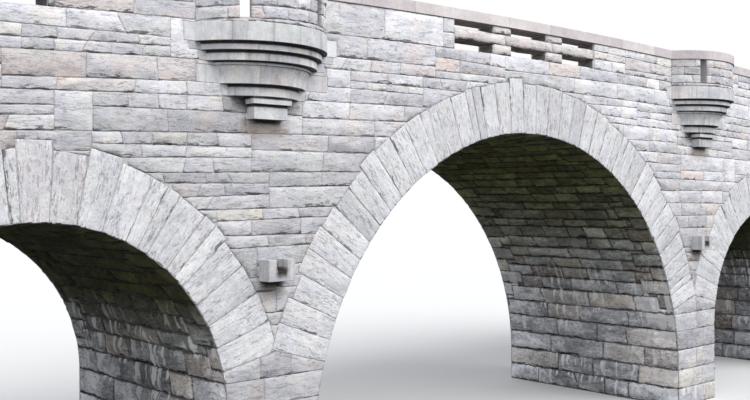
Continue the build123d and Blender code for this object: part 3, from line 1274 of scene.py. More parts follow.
class DressedStones(Stones):
    """Smooth stones, each a closed prism or a sector swept round a balcony."""

    flat = math.radians(4.0)
    # Height that a thin course is stretched to, so that the painted shadow under the stone above takes
    # less of it
    shaded_strip = 0.14

    def prism(
        self,
        plan: Array,
        low: Array | float,
        high: Array | float,
        covered: bool = False,
        lying: bool = False,
    ) -> None:
        """Adds a prism.

        Args:
            plan: Counter-clockwise outline seen from above, or from the front if it is lying.
            low: Height of its underside, one for all corners or one for each.
            high: Height of its top.
            covered: Whether it stands in the shade of a stone above.
            lying: Whether it runs along Y, with low and high as its ends.
        """
        size = len(plan)
        points = np.vstack(
            [np.column_stack((plan, np.broadcast_to(level, size))) for level in (low, high)]
        )
        faces = [list(range(size))[::-1], list(range(size, 2 * size))]
        for i in range(size):
            j = (i + 1) % size
            faces.append([i, j, size + j, size + i])
        if lying:
            points = points[:, (0, 2, 1)]
            faces = [face[::-1] for face in faces]
        self._add(points, faces, covered)

    def sector(self, profile: Array, centre: Array, looks: int, turns: Pair, covered: bool) -> None:
        """Adds a stone swept round a balcony.

        Args:
            profile: Counter-clockwise outline of radius and height.
            centre: Axis of the balcony in plan.
            looks: Side of Y that the balcony looks to.
            turns: Angles of both ends from the outward direction.
            covered: Whether it stands in the shade of a stone above.
        """
        steps = max(2, math.ceil(abs(turns[1] - turns[0]) / self.flat))
        size = len(profile)
        rings = []
        for angle in np.linspace(*turns, steps + 1):
            x = centre[0] + np.sin(angle) * profile[:, 0]
            y = centre[1] + np.cos(angle) * profile[:, 0] * looks
            rings.append(np.column_stack((x, y, profile[:, 1])))
        faces = [list(range(size)), [steps * size + i for i in range(size)][::-1]]
        for here in range(0, steps * size, size):
            for i in range(size):
                j, there = (i + 1) % size, here + size
                faces.append([here + j, here + i, there + i, there + j])
        if looks < 0:
            faces = [face[::-1] for face in faces]
        self._add(np.vstack(rings), faces, covered)

    def _add(self, points: Array, faces: list[list[int]], covered: bool) -> None:
        """Adds one closed stone; the strip of painted shadow under a stone above is narrower on a thin
        course.
        """
        size = len(points)
        depth = points[:, 2].max() - points[:, 2]
        depth *= max(1.0, self.shaded_strip / depth.max())
        marks = {
            "local": points + self.offset(),
            "tone": np.full(size, self.rng.normal(0.0, 1.0)),
            "gap": depth if covered else np.ones(size),
            "warm": np.zeros(size),
            "low": np.ones(size),
        }
        self.gather(points, faces, marks)

    def rounded(self, material: Material, width: float) -> bpy.types.Object:
        """The stones as one object with rounded edges."""
        made = self.mesh()
        made.data.materials.append(material)
        soften(made, width)
        return made


def linked(name: str, data: bpy.types.ID) -> bpy.types.Object:
    """A new object at the origin, linked to the scene."""
    made = bpy.data.objects.new(name, data)
    bpy.context.scene.collection.objects.link(made)
    return made


def mesh_object(
    name: str,
    points: Array,
    faces: Sequence[Sequence[int]],
    marks: dict[str, Array] | None = None,
    smooth: Sequence[bool] | None = None,
) -> bpy.types.Object:
    """Object at the origin with a new mesh.

    Args:
        name: Name of the piece.
        points: Corner points.
        faces: Corners of each face.
        marks: Point attributes, of one number or three.
        smooth: Which faces are shaded smooth.

    Returns:
        The object, linked to the scene.
    """
    mesh = bpy.data.meshes.new(name)
    mesh.from_pydata(points.tolist(), [], faces)
    for key, values in (marks or {}).items():
        wide = values.ndim == 2
        layer = mesh.attributes.new(key, "FLOAT_VECTOR" if wide else "FLOAT", "POINT")
        layer.data.foreach_set("vector" if wide else "value", values.astype(np.float32).ravel())
    if smooth is not None:
        mesh.polygons.foreach_set("use_smooth", np.array(smooth, bool))
    return linked(name, mesh)


# Geometry Nodes trees


class ShapeTree(Graph):
    """A Geometry Nodes tree with named inputs, of which the last is a material."""

    def __init__(self, name: str, **sockets: float) -> None:
        """Starts an empty tree whose inputs have these names and defaults."""
        tree = bpy.data.node_groups.new(name, "GeometryNodeTree")
        for way in ("INPUT", "OUTPUT"):
            tree.interface.new_socket("Geometry", in_out=way, socket_type="NodeSocketGeometry")
        for label, value in sockets.items():
            kind = "NodeSocketInt" if isinstance(value, int) else "NodeSocketFloat"
            socket = tree.interface.new_socket(label, in_out="INPUT", socket_type=kind)
            socket.default_value = value
        tree.interface.new_socket("Material", in_out="INPUT", socket_type="NodeSocketMaterial")
        super().__init__(tree)
        self.given = self.add("NodeGroupInput")

    def mark(self, name: str, kind: str = "FLOAT") -> Wire:
        """An attribute of the stones."""
        return self.add("GeometryNodeInputNamedAttribute", (name,), data_type=kind)

    def store(self, shape: Wire, name: str, value: Wire | float, kind: str, domain: str) -> Wire:
        """Keeps a value on a shape as an attribute."""
        inputs = {"Geometry": shape, "Name": name, "Value": value}
        return self.add("GeometryNodeStoreNamedAttribute", inputs, data_type=kind, domain=domain)

    def shifted(self, shape: Wire, offset: Wire) -> Wire:
        """A shape with each point moved."""
        return self.add("GeometryNodeSetPosition", {"Geometry": shape, "Offset": offset})

    def close(self, shape: Wire) -> bpy.types.NodeTree:
        """Ends the tree in Realize Instances and Set Material."""
        solid = self.add("GeometryNodeRealizeInstances", (shape,))
        inputs = {"Geometry": solid, "Material": self.given.out("Material")}
        self.add("NodeGroupOutput", (self.add("GeometryNodeSetMaterial", inputs),))
        return self.tree


def rock_face_tree() -> bpy.types.NodeTree:
    """Tree that turns flat stones into rock-faced ones.

    Returns:
        A tree that moves each point along its outward direction: a pitched rise at the rim, a
        swelling inside it, breaks along the bed of the rock and a coarse grain.
    """
    sizes = {"Edge": EDGE, "Pitch": 0.006, "Break": 0.020, "Grain": 0.010, "Undercut": 0.028}
    tree = ShapeTree("rock face", **sizes, Length=1.0, Height=1.0, Least=0.003)
    edge, pitch, crag, grain, undercut, length, height, least = (
        tree.given.out(name) for name in (*sizes, "Length", "Height", "Least")
    )
    gap, low = tree.mark("gap"), tree.mark("low")
    place = tree.vector("MULTIPLY", tree.mark("local", "FLOAT_VECTOR"), tree.combine(length, height, 1.0))
    swell = tree.noise(place, 1.9, 1.0)
    coarse = tree.noise(place, 7.5, 2.0, 0.6, shift=(3.1, 8.2, 5.5))
    ledge = tree.noise(place, 1.6, 2.0, 0.45, stretch=(0.9, 3.2, 1.0), shift=(9.7, 2.3, 1.1))
    rise = edge + gap.ease(0.0, 0.03) * pitch
    belly = gap.ease(0.0, 0.14) * tree.mark("proud") * (0.25 + swell * 1.5)
    broken = (ledge.ease(0.46, 0.54) - 0.5) * crag * gap.ease(0.0, 0.05)
    rough = (coarse - 0.5) * grain * 2.0 * gap.ease(0.0, 0.03, 0.35, 1.0)
    under = low.fade(0.02, 0.11) * coarse.ease(0.38, 0.60) * undercut
    reach = (rise + belly + broken + rough - under).larger(least)
    offset = tree.scaled(tree.mark("out", "FLOAT_VECTOR"), reach)
    return tree.close(tree.shifted(tree.given, offset))


def coping_tree() -> bpy.types.NodeTree:
    """Tree that lays a straight run of coping slabs along the crowned parapet.

    Returns:
        A tree whose slabs are instances on a line, realized and bent to the road's curve.
    """
    sizes = {"Start": 0.0, "End": 1.0, "Slabs": 4, "Middle": 0.0, "Width": 0.5, "Height": 0.2}
    more = {"Level": 0.0, "Joint": 0.003, "Curve": 1.0, "Seed": 0}
    tree = ShapeTree("coping run", **sizes, **more)
    start, end, slabs, middle, width, height, level, joint, curve, seed = (
        tree.given.out(name) for name in (*sizes, *more)
    )
    pitch = (end - start) / slabs
    first = tree.combine(start + pitch * 0.5, middle, level + height * 0.5)
    inputs = {"Count": slabs, "Start Location": first, "Offset": tree.combine(pitch, 0.0, 0.0)}
    line = tree.add("GeometryNodeMeshLine", inputs, mode="OFFSET")
    inputs = {"Size": tree.combine(pitch - joint, width, height)}
    slab = tree.add("GeometryNodeMeshCube", inputs | {"Vertices X": 5, "Vertices Y": 2, "Vertices Z": 2})
    placed = tree.add("GeometryNodeInstanceOnPoints", {"Points": line, "Instance": slab})
    for name, low, high in (("tone", -1.5, 1.5), ("warm", 0.0, 0.6)):
        inputs = {2: low, 3: high, "Seed": seed}
        drawn = tree.add("FunctionNodeRandomValue", inputs, 1, data_type="FLOAT")
        placed = tree.store(placed, name, drawn, "FLOAT", "INSTANCE")
    solid = tree.add("GeometryNodeRealizeInstances", (placed,))
    here = tree.add("GeometryNodeInputPosition")
    solid = tree.store(solid, "local", here, "FLOAT_VECTOR", "POINT")
    for name in ("gap", "low"):
        solid = tree.store(solid, name, 1.0, "FLOAT", "POINT")
    x = tree.split(here)[0]
    fall = tree.math("SQRT", curve * curve - x * x) - curve
    return tree.close(tree.shifted(solid, tree.combine(0.0, 0.0, fall)))


def run_tree(target: bpy.types.Object, tree: bpy.types.NodeTree, **values: Any) -> None:
    """Runs a tree on an object, with inputs by name, and keeps the result as its plain mesh."""
    modifier = target.modifiers.new("shape", "NODES")
    modifier.node_group = tree
    for item in tree.interface.items_tree:
        if item.in_out == "INPUT" and item.name in values:
            modifier[item.identifier] = values[item.name]
    settle_modifiers(target)


def settle_modifiers(target: bpy.types.Object) -> None:
    """Turns an object's evaluated shape into its plain mesh and removes its modifiers."""
    graph = bpy.context.evaluated_depsgraph_get()
    shape = target.evaluated_get(graph)
    made = bpy.data.meshes.new_from_object(shape, preserve_all_data_layers=True, depsgraph=graph)
    target.modifiers.clear()
    target.data = made
    for name in ("out", "proud"):
        if name in made.attributes:
            made.attributes.remove(made.attributes[name])


def soften(target: bpy.types.Object, width: float) -> None:
    """Rounds the edges of a dressed stone."""
    bevel = target.modifiers.new("arris", "BEVEL")
    bevel.width = width
    bevel.segments = 2
    bevel.limit_method = "ANGLE"
    bevel.angle_limit = math.radians(30.0)
    settle_modifiers(target)


def join_objects(parts: list[bpy.types.Object], name: str) -> bpy.types.Object:
    """One object from several at the origin, with their attributes.

    Args:
        parts: The objects.
        name: Name of the result.

    Returns:
        The joined object.
    """
    first = parts[0]
    chosen = {"selected_editable_objects": parts, "selected_objects": parts}
    with bpy.context.temp_override(active_object=first, object=first, **chosen):
        bpy.ops.object.join()
    first.name = first.data.name = name
    return first


def join_part(piece: bpy.types.Object, slot: Slot, *replaced: str) -> None:
    """Ties a finished piece to the bridge, hides the nodes that it stands for, and logs its triangles."""
    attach(piece, BODY)
    if replaced:
        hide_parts(*replaced)
    piece.data.calc_loop_triangles()
    LOG.info("%s: %d triangles", piece.name, len(piece.data.loop_triangles))


# Laying stones in courses


@dataclass(frozen=True)
class Coursing:
    """Semi-coursed ashlar: bands of stone in which courses split, shift and are jumped."""

    band: Pair = (0.54, 0.74)
    stretch: Pair = (1.8, 4.2)
    jumper: float = 0.26
    jumper_width: Pair = (0.40, 0.75)
    jumper_room: float = 1.6
    rows: Triple = (0.02, 0.58, 0.40)
    row_parts: Pair = (0.6, 1.4)
    shape: Pair = (2.2, 5.6)
    stone_parts: Pair = (0.65, 1.35)
    shortest: float = 0.50
    longest: float = 1.70
    slant: float = 0.022
    askew: float = 0.22
    askew_slant: float = 4.0
    lean: float = 0.030

    def bands(self, low: float, high: float, rng: np.random.Generator) -> list[float]:
        """Beds of the bands between two heights."""
        count = max(1, round((high - low) / (sum(self.band) / 2)))
        return uneven(low, high, rng.uniform(*self.band, count)).tolist()

    def mixed(self, ends: Pair, beds: Sequence[float], rng: np.random.Generator) -> Iterator[Array]:
        """Outlines of the stones of some bands, joints included.

        Args:
            ends: Left and right end.
            beds: Beds of the bands.
            rng: Seeded draws.

        Yields:
            The corners of each stone, counter-clockwise.
        """
        for low, high in pairwise(beds):
            x = ends[0]
            while x < ends[1] - 1e-6:
                end = x + rng.uniform(*self.stretch)
                if ends[1] - end < self.stretch[0]:
                    end = ends[1]
                tall = rng.random() < self.jumper and end - x > self.jumper_room
                stop = end - rng.uniform(*self.jumper_width) if tall else end
                if tall:
                    yield rectangle(stop, end, low, high)
                rows = 1 + int(rng.choice(len(self.rows), p=self.rows))
                levels = uneven(low, high, rng.uniform(*self.row_parts, rows))
                leans = np.concatenate(([0.0], rng.uniform(-self.lean, self.lean, rows - 1), [0.0]))
                tilted = zip(levels - leans, levels + leans)
                for below, above in pairwise(tilted):
                    yield from self._row((x, stop), below, above, rng)
                x = end

    def level(self, ends: Pair, beds: Sequence[float], rng: np.random.Generator) -> Iterator[Array]:
        """Outlines of the stones of some level courses."""
        for low, high in pairwise(beds):
            yield from self._row(ends, (low, low), (high, high), rng)

    def _row(self, ends: Pair, below: Pair, above: Pair, rng: np.random.Generator) -> Iterator[Array]:
        """Outlines of the stones of one course.

        Args:
            ends: Left and right end.
            below: Heights of the lower bed at the two ends.
            above: Heights of the upper bed at them.
            rng: Seeded draws.

        Yields:
            The corners of each stone, counter-clockwise.
        """
        left, length, height = ends[0], ends[1] - ends[0], (sum(above) - sum(below)) / 2
        pitch = min(max(height * rng.uniform(*self.shape), self.shortest), self.longest)
        count = max(1, round(length / pitch))
        stops = uneven(*ends, rng.uniform(*self.stone_parts, count))
        slants = rng.uniform(-self.slant, self.slant, count + 1)
        slants *= np.where(rng.random(count + 1) < self.askew, self.askew_slant, 1.0)
        slants[0] = slants[-1] = 0.0
        for (start, lean), (end, next_lean) in pairwise(zip(stops, slants)):
            corners = []
            for x, shift, bed in (
                (start, -lean, below),
                (end, -next_lean, below),
                (end, next_lean, above),
                (start, lean, above),
            ):
                share = (x - left) / length
                corners.append((x + shift, bed[0] + (bed[1] - bed[0]) * share))
            yield np.array(corners)


PIER_COURSES = Coursing(slant=0.010, lean=0.0, shape=(1.9, 3.2), longest=1.5, askew=0.0)
PLAIN_COURSES = Coursing(slant=0.012, lean=0.0, shape=(1.6, 3.2), longest=1.4, askew=0.0)
MIXED_COURSES = Coursing()
VAULT_COURSES = Coursing(slant=0.02, shape=(1.8, 4.2), shortest=0.55, longest=1.4)
DRUM_COURSES = Coursing(slant=0.015, shape=(1.5, 2.6), longest=0.75)


def pier_beds() -> Array:
    """Beds of the courses of the piers, level round all their sides."""
    return uneven(0.0, BRIDGE.head, np.random.default_rng(71).uniform(0.88, 1.12, 6))


def slot_notches() -> list[Array]:
    """Outlines of the groups of slots."""
    half, top = BRIDGE.group_width / 2, BRIDGE.coping_bed + CLEAR
    middles = BRIDGE.group_centres.values()
    return [dense(rectangle(x - half, x + half, BRIDGE.group_foot, top)) for x in middles]


def long_face(face: Face) -> Upright:
    """Surface of one long face of the bridge."""
    return Upright(0, face.value * BRIDGE.face, face.value)


# Sub-assemblies


@dataclass(frozen=True)
class Kit:
    """The trees and finishes that the sub-assemblies are built with."""

    rock: bpy.types.NodeTree
    coping: bpy.types.NodeTree
    finishes: dict[Slot, Material]


@dataclass
class SubAssembly:
    """What each sub-assembly is given: its kit, and the seed of its draws."""

    kit: Kit
    seed: int


@dataclass
class ArchRing(SubAssembly):
    """Wedge stones of one arch on one face."""

    face: Face
    arch: Arch
    joint: float = 0.004
    ragged: float = 0.035
    long_share: float = 0.26
    long_reach: float = 0.09
    split: float = 0.14
    split_at: Pair = (0.35, 0.65)
    inner_shift: Pair = (-0.006, 0.008)

    def __post_init__(self) -> None:
        """Draws the outer end of each wedge stone."""
        rng = np.random.default_rng(self.seed)
        outer = self.arch.radius + BRIDGE.ring_depth
        reach = rng.uniform(-self.ragged, self.ragged, self.arch.stones)
        reach += np.where(rng.random(self.arch.stones) < self.long_share, self.long_reach, 0.0)
        self.outer = outer + reach

    def outline(self, joint: float) -> Array:
        """Levels of the ring and all that is below it, which facing stones keep out of.

        Args:
            joint: Half a joint, by which the outline is larger than the ring.

        Returns:
            The closed outline.
        """
        arch = self.arch
        inner = arch.radius - EDGE
        haunch = np.linspace(0.0, arch.bed, 6)
        top = arch.at(np.repeat(arch.joints, 2)[1:-1], np.repeat(self.outer, 2) + joint)
        left = arch.at(math.pi - haunch[::-1], inner)
        right = arch.at(haunch, inner)
        for corner in (left[0], right[-1], top[0], top[-1]):
            corner -= (0.0, joint)
        feet = np.array([(arch.centre - inner, -CLEAR), (arch.centre + inner, -CLEAR)])
        return leveled(dense(np.vstack((top, left, feet, right))))

    def build(self, rings: list["ArchRing"]) -> None:
        """Builds the wedge stones.

        Args:
            rings: The rings of this face, of which the middle one cuts the others.
        """
        arch = self.arch
        dressing = Dressing(joint=self.joint, close=0.0, proud=(0.002, 0.012), warm=0.0)
        name = f"wedge_stones_{arch.name}_{self.face.label}"
        work = RockStones(name, self.seed + 1, dressing)
        surface = long_face(self.face)
        cutters = [ring.outline(self.joint) for ring in rings if ring.arch.name == "centre" != arch.name]
        for (low, high), outer in zip(pairwise(arch.joints), self.outer):
            stops = [low, high]
            if work.rng.random() < self.split:
                stops.insert(1, low + (high - low) * work.rng.uniform(*self.split_at))
            for first, second in pairwise(stops):
                inner = arch.radius - EDGE - self.joint + work.rng.uniform(*self.inner_shift)
                turns = np.array([first, first, second, second])
                corners = arch.at(turns, np.array([inner, outer, outer, inner]))
                middle = (first + second) / 2
                x, z = math.cos(middle), math.sin(middle)
                up = math.copysign(1.0, x)
                work.lay(leveled(corners), surface, cutters, np.array([(x, z), (-z * up, x * up)]))
        shape = {"Pitch": 0.003, "Break": 0.010, "Grain": 0.008, "Undercut": 0.010}
        work.finish(self.kit, Slot.RING, **shape, Length=0.5, Height=2.4)


@dataclass
class LongWall(SubAssembly):
    """Facing stones of one long face, up to the coping."""

    face: Face
    rings: list[ArchRing]
    joint: float = 0.003
    spare: float = 0.3
    above_kerb: float = 0.04

    def build(self) -> None:
        """Builds the facing stones of the piers and abutments, and then those above them."""
        rng = np.random.default_rng(self.seed)
        cutters = [counter_clockwise(ring.outline(self.joint)) for ring in self.rings]
        cutters += slot_notches() + self._balconies()
        surface = long_face(self.face)
        end = BRIDGE.half_length + EDGE
        work = RockStones(f"facing_stones_{self.face.label}", self.seed + 1)
        for course in pairwise(pier_beds()):
            for ends in self._footings(end):
                work.lay_all(PIER_COURSES.level(ends, course, rng), surface, cutters)
        beds = MIXED_COURSES.bands(BRIDGE.head, BRIDGE.group_foot, rng) + [BRIDGE.coping_bed]
        work.lay_all(MIXED_COURSES.mixed((-end, end), beds, rng), surface, cutters)
        work.finish(self.kit, Slot.ROUGH)

    def _footings(self, end: float) -> list[Pair]:
        """Ends of each pier and abutment, with what their rings cut off.

        Args:
            end: Where the face ends.

        Returns:
            Left and right end of each.
        """
        axis = BRIDGE.pier_axis
        half = BRIDGE.pier / 2 + self.spare
        reach = axis + BRIDGE.pier / 2 + 2 * BRIDGE.side_radius - self.spare
        return [(-end, -reach), (-axis - half, half - axis), (axis - half, axis + half), (reach, end)]

    def _balconies(self) -> list[Array]:
        """Outlines of the round walls of the balconies and of the smooth courses below them."""
        wall = math.sqrt(BRIDGE.balcony_radius**2 - BRIDGE.setback**2)
        foot, top = BRIDGE.kerb_level + self.above_kerb, BRIDGE.coping_bed + CLEAR
        outlines = []
        for end in End:
            balcony = Balcony(self.kit, self.seed, self.face, end)
            x = float(balcony.centre[0])
            outlines.append(rectangle(x - wall, x + wall, foot, top))
            outlines += [leveled(rectangle(*course)) for course in balcony.courses()]
        return [dense(outline) for outline in outlines]


@dataclass
class Vault(SubAssembly):
    """Stones of the underside of one arch and of the upright faces below it."""

    arch: Arch
    course: float = 0.335
    spread: float = 0.17
    returns: Pair = (0.40, 0.78)
    ragged: float = 0.08
    apart: float = 0.006

    def build(self) -> None:
        """Builds the ring stones' undersides, and then the courses between them."""
        rng = np.random.default_rng(self.seed)
        dressing = Dressing(joint=0.008, proud=(0.004, 0.045), wobble=0.007, warm=0.22)
        work = RockStones(f"vault_stones_{self.arch.name}", self.seed + 1, dressing)
        surface = Barrel(self.arch)
        edge = BRIDGE.face + EDGE
        beds = self._beds(rng)
        crown = math.pi * self.arch.radius / 2
        returns = self._returns(edge, rng)
        cutters = [dense(inset(corners, -self.apart)) for corners in returns]
        rows = [*VAULT_COURSES.level((-edge, edge), beds, rng)]
        for stones, cutting in ((returns, ()), (rows, cutters)):
            for corners in stones:
                up = math.copysign(1.0, crown - corners[:, 1].mean())
                work.lay(corners, surface, cutting, np.diag((1.0, up)))
        shape = {"Pitch": 0.020, "Break": 0.034, "Grain": 0.014, "Undercut": 0.040}
        work.finish(self.kit, Slot.VAULT, **shape)

    def _beds(self, rng: np.random.Generator) -> list[float]:
        """Beds round the sheet, from the foot on the right to the foot on the left."""
        arch = self.arch
        rising = [z - arch.springing for z in pier_beds() if z < arch.springing]
        rising += [arch.turn_at(z) * arch.radius for z in pier_beds() if z >= arch.springing]
        whole = math.pi * arch.radius
        span = whole - 2 * rising[-1]
        parts = rng.uniform(1.0 - self.spread, 1.0 + self.spread, round(span / self.course))
        over = rising[-1] + np.cumsum(parts) / parts.sum() * span
        return rising + over[:-1].tolist() + [whole - t for t in rising[::-1]]

    def _returns(self, edge: float, rng: np.random.Generator) -> list[Array]:
        """Outlines of the ring stones' undersides, long and short by turns.

        Args:
            edge: Distance of the mouths from the middle of the bridge.
            rng: Seeded draws.

        Returns:
            The corners of each, counter-clockwise.
        """
        found = []
        for side in (-1, 1):
            for number, (low, high) in enumerate(pairwise(self.arch.joints * self.arch.radius)):
                reach = self.returns[number % 2] + rng.uniform(-self.ragged, self.ragged)
                found.append(rectangle(*sorted((side * edge, side * (edge - reach))), low, high))
        return found


@dataclass
class EndWall(SubAssembly):
    """Plain courses on one end of the bridge."""

    end: End
    tallest: float = 0.5
    below_road: float = 0.02
    above_bed: float = 0.3

    def build(self) -> None:
        """Builds the stones of the end, with a high band in two courses."""
        rng = np.random.default_rng(self.seed)
        work = RockStones(f"end_stones_{self.end.label}", self.seed + 1, Dressing(grain=0.11))
        surface = Upright(1, self.end.value * BRIDGE.half_length, self.end.value)
        inner, edge = BRIDGE.face - BRIDGE.parapet, BRIDGE.face + EDGE
        foot, top = BRIDGE.road - self.below_road, BRIDGE.coping_bed + self.above_bed
        cutters = [dense(rectangle(-inner, inner, foot, top))]
        beds = pier_beds().tolist() + PLAIN_COURSES.bands(BRIDGE.head, BRIDGE.coping_bed, rng)[1:]
        for low, high in pairwise(beds):
            steps = np.linspace(low, high, 2 if high - low < self.tallest else 3)
            work.lay_all(PLAIN_COURSES.level((-edge, edge), steps, rng), surface, cutters)
        work.finish(self.kit, Slot.ROUGH)


@dataclass
class Parapet(SubAssembly):
    """Stones of the inside of one parapet, and the rails and stubs of its slots."""

    face: Face
    slack: float = 0.008
    end_slack: float = 0.002
    swell: float = 0.028
    rail_shift: float = 0.12

    def build(self) -> None:
        """Builds the inner facing and the slot stones."""
        rng = np.random.default_rng(self.seed)
        label, side = self.face.label, self.face.value
        work = RockStones(f"parapet_stones_{label}", self.seed + 1, Dressing(grain=0.10))
        surface = Upright(0, side * (BRIDGE.face - BRIDGE.parapet), -side)
        foot, top = BRIDGE.group_foot, BRIDGE.coping_bed
        reach = BRIDGE.balcony_radius - BRIDGE.balcony_wall
        mouth = math.sqrt(reach**2 - (BRIDGE.setback - BRIDGE.parapet) ** 2)
        cutters = slot_notches()
        for x in (-BRIDGE.balcony_axis, BRIDGE.balcony_axis):
            gap = rectangle(x - mouth, x + mouth, BRIDGE.road - CLEAR, top + CLEAR)
            cutters.append(dense(gap))
        end = BRIDGE.half_length + EDGE
        beds = (BRIDGE.road, foot, foot + BRIDGE.group_drop * 0.5, top)
        work.lay_all(PLAIN_COURSES.level((-end, end), beds, rng), surface, cutters)
        work.finish(self.kit, Slot.ROUGH)
        for name, middle in BRIDGE.group_centres.items():
            self._slots(f"{label}_{name}", middle)

    def _slots(self, label: str, middle: float) -> None:
        """Builds the rail and the stubs of one group of slots.

        Args:
            label: Ending of the names of its piece and its node.
            middle: Its middle along the bridge.
        """
        dressing = Dressing(grain=0.075, warm=0.75, tone=-0.7)
        seed = self.seed + 50 + round(middle)
        work = RockStones(f"slot_stones_{label}", seed, dressing)
        slack, stub = self.slack, BRIDGE.stub_width
        inner, outer = BRIDGE.face - BRIDGE.parapet + slack, BRIDGE.face - slack
        near, far = sorted((self.face.value * inner, self.face.value * outer))
        top = BRIDGE.parapet_height - BRIDGE.upper_slot
        foot = top - BRIDGE.rail
        sill = BRIDGE.parapet_height - BRIDGE.group_drop

        def block(left: float, right: float, low: float, high: float) -> None:
            """Adds one stone through the parapet, at heights above the road."""
            work.block(np.array((left, near, low)), np.array((right, far, high)), self.swell)

        start = middle - BRIDGE.group_width / 2
        rail_ends = [start + self.end_slack]
        for column in range(1, BRIDGE.slot_columns):
            left = start + column * (BRIDGE.slot_width + stub) - stub
            rail_ends.append(left + stub * 0.5 + work.rng.uniform(-self.rail_shift, self.rail_shift))
            for low, high in ((sill, foot), (top, BRIDGE.parapet_height)):
                block(left + slack, left + stub - slack, low, high)
        rail_ends.append(start + BRIDGE.group_width - self.end_slack)
        self._sides(work, start, near - EDGE, far + EDGE)
        for left, right in pairwise(rail_ends):
            block(left + slack, right - slack, foot + slack, top - slack)
        shape = {"Edge": 0.002, "Pitch": 0.006, "Break": 0.020, "Undercut": 0.010}
        work.finish(self.kit, Slot.ROUGH, f"slot_grille_{label}", **shape)

    def _sides(self, work: RockStones, start: float, near: float, far: float) -> None:
        """Lays the stones on both jambs and on the sill of a group of slots.

        Args:
            work: The stones of the group.
            start: Left end of the group.
            near: Smaller y of the parapet's faces.
            far: Larger y of them.
        """
        foot, end = BRIDGE.group_foot, start + BRIDGE.group_width
        for low, high in pairwise(np.linspace(foot, BRIDGE.coping_bed, 3)):
            for x, looks in ((start, 1), (end, -1)):
                work.lay(rectangle(near, far, low, high), Upright(1, x, looks))
        for left, right in pairwise(np.linspace(start, end, 4)):
            work.lay(rectangle(left, right, near, far), TopFace(foot))


@dataclass
class Coping(SubAssembly):
    """Coping of one parapet: straight runs, cut ends at the balconies, and curved lengths."""

    face: Face
    slab: float = 1.45
    end_slab: float = 1.1
    joint: float = 0.004
    arris: float = 0.006
    curved_lengths: int = 3
    arc_points: int = 12

    def __post_init__(self) -> None:
        """Works out the coping's width and place, and the reach of its round parts."""
        over = BRIDGE.coping_overhang
        self.width = BRIDGE.parapet + 2 * over
        self.middle = self.face.value * (BRIDGE.face - BRIDGE.parapet / 2)
        self.inner = BRIDGE.balcony_radius - BRIDGE.balcony_wall - over
        self.outer = BRIDGE.balcony_radius + over
        self.reach = self.inner + self.end_slab

    def build(self) -> None:
        """Builds the coping of one face."""
        axis, material = BRIDGE.balcony_axis, self.kit.finishes[Slot.COPING]
        runs = [(-BRIDGE.half_length, -axis - self.reach), (-axis + self.reach, axis - self.reach)]
        runs.append((axis + self.reach, BRIDGE.half_length))
        parts = []
        for start, end in runs:
            run = mesh_object("coping_run", np.zeros((0, 3)), [])
            values = {"Start": start, "End": end, "Slabs": round((end - start) / self.slab)}
            values |= {"Middle": self.middle, "Width": self.width, "Height": BRIDGE.coping}
            values |= {"Level": BRIDGE.coping_bed, "Curve": BRIDGE.curve, "Material": material}
            run_tree(run, self.kit.coping, **values, Joint=self.joint, Seed=self.seed + len(parts))
            soften(run, self.arris)
            parts.append(run)
        cut = DressedStones("coping_cut", self.seed)
        for x in (-axis, axis):
            for plan in (*self._end_slabs(x), *self._curved(x)):
                plan = counter_clockwise(plan)
                low = BRIDGE.coping_bed - BRIDGE.drop(plan[:, 0])
                cut.prism(plan, low, low + BRIDGE.coping)
        parts.append(cut.rounded(material, self.arris))
        piece = join_objects(parts, f"coping_slabs_{self.face.label}")
        nodes = [f"balcony_coping_{self.face.label}_{end.label}" for end in End]
        join_part(piece, Slot.COPING, f"coping_{self.face.label}", *nodes)

    def _end_slabs(self, balcony: float) -> Iterator[Array]:
        """Plans of the slabs on both sides of a balcony, whose ends follow its round."""
        side = self.face.value
        near, far = self.middle - side * self.width / 2, self.middle + side * self.width / 2
        ys = np.linspace(near, far, 6)
        xs = np.sqrt(self.inner**2 - (ys - side * (BRIDGE.face - BRIDGE.setback)) ** 2)
        for toward in (-1, 1):
            end = balcony + toward * self.reach
            arc = np.column_stack((balcony + toward * xs, ys))
            yield np.vstack((arc, np.array([(end, far), (end, near)])))

    def _curved(self, balcony: float) -> Iterator[Array]:
        """Plans of the curved lengths over the round wall."""
        line = BRIDGE.setback + BRIDGE.coping_overhang
        limit_out, limit_in = math.acos(line / self.outer), math.acos(line / self.inner)
        radii = np.repeat((self.outer, self.inner), self.arc_points)
        for start, end in pairwise(np.linspace(-1.0, 1.0, self.curved_lengths + 1)):
            outside = np.linspace(start * limit_out, end * limit_out, self.arc_points)
            within = np.linspace(end * limit_in, start * limit_in, self.arc_points)
            yield balcony_plan(self.face, balcony, np.concatenate((outside, within)), radii)


def balcony_plan(face: Face, x: float, turns: Array, radii: Array | float) -> Array:
    """Points of the plan at some angles and distances from the axis of a balcony.

    Args:
        face: Face that the balcony stands on.
        x: Place of its axis along the bridge.
        turns: Angles from the outward direction.
        radii: Distances.

    Returns:
        One row of x and y for each angle.
    """
    y = face.value * (BRIDGE.face - BRIDGE.setback)
    return np.column_stack((x + np.sin(turns) * radii, y + np.cos(turns) * radii * face.value))


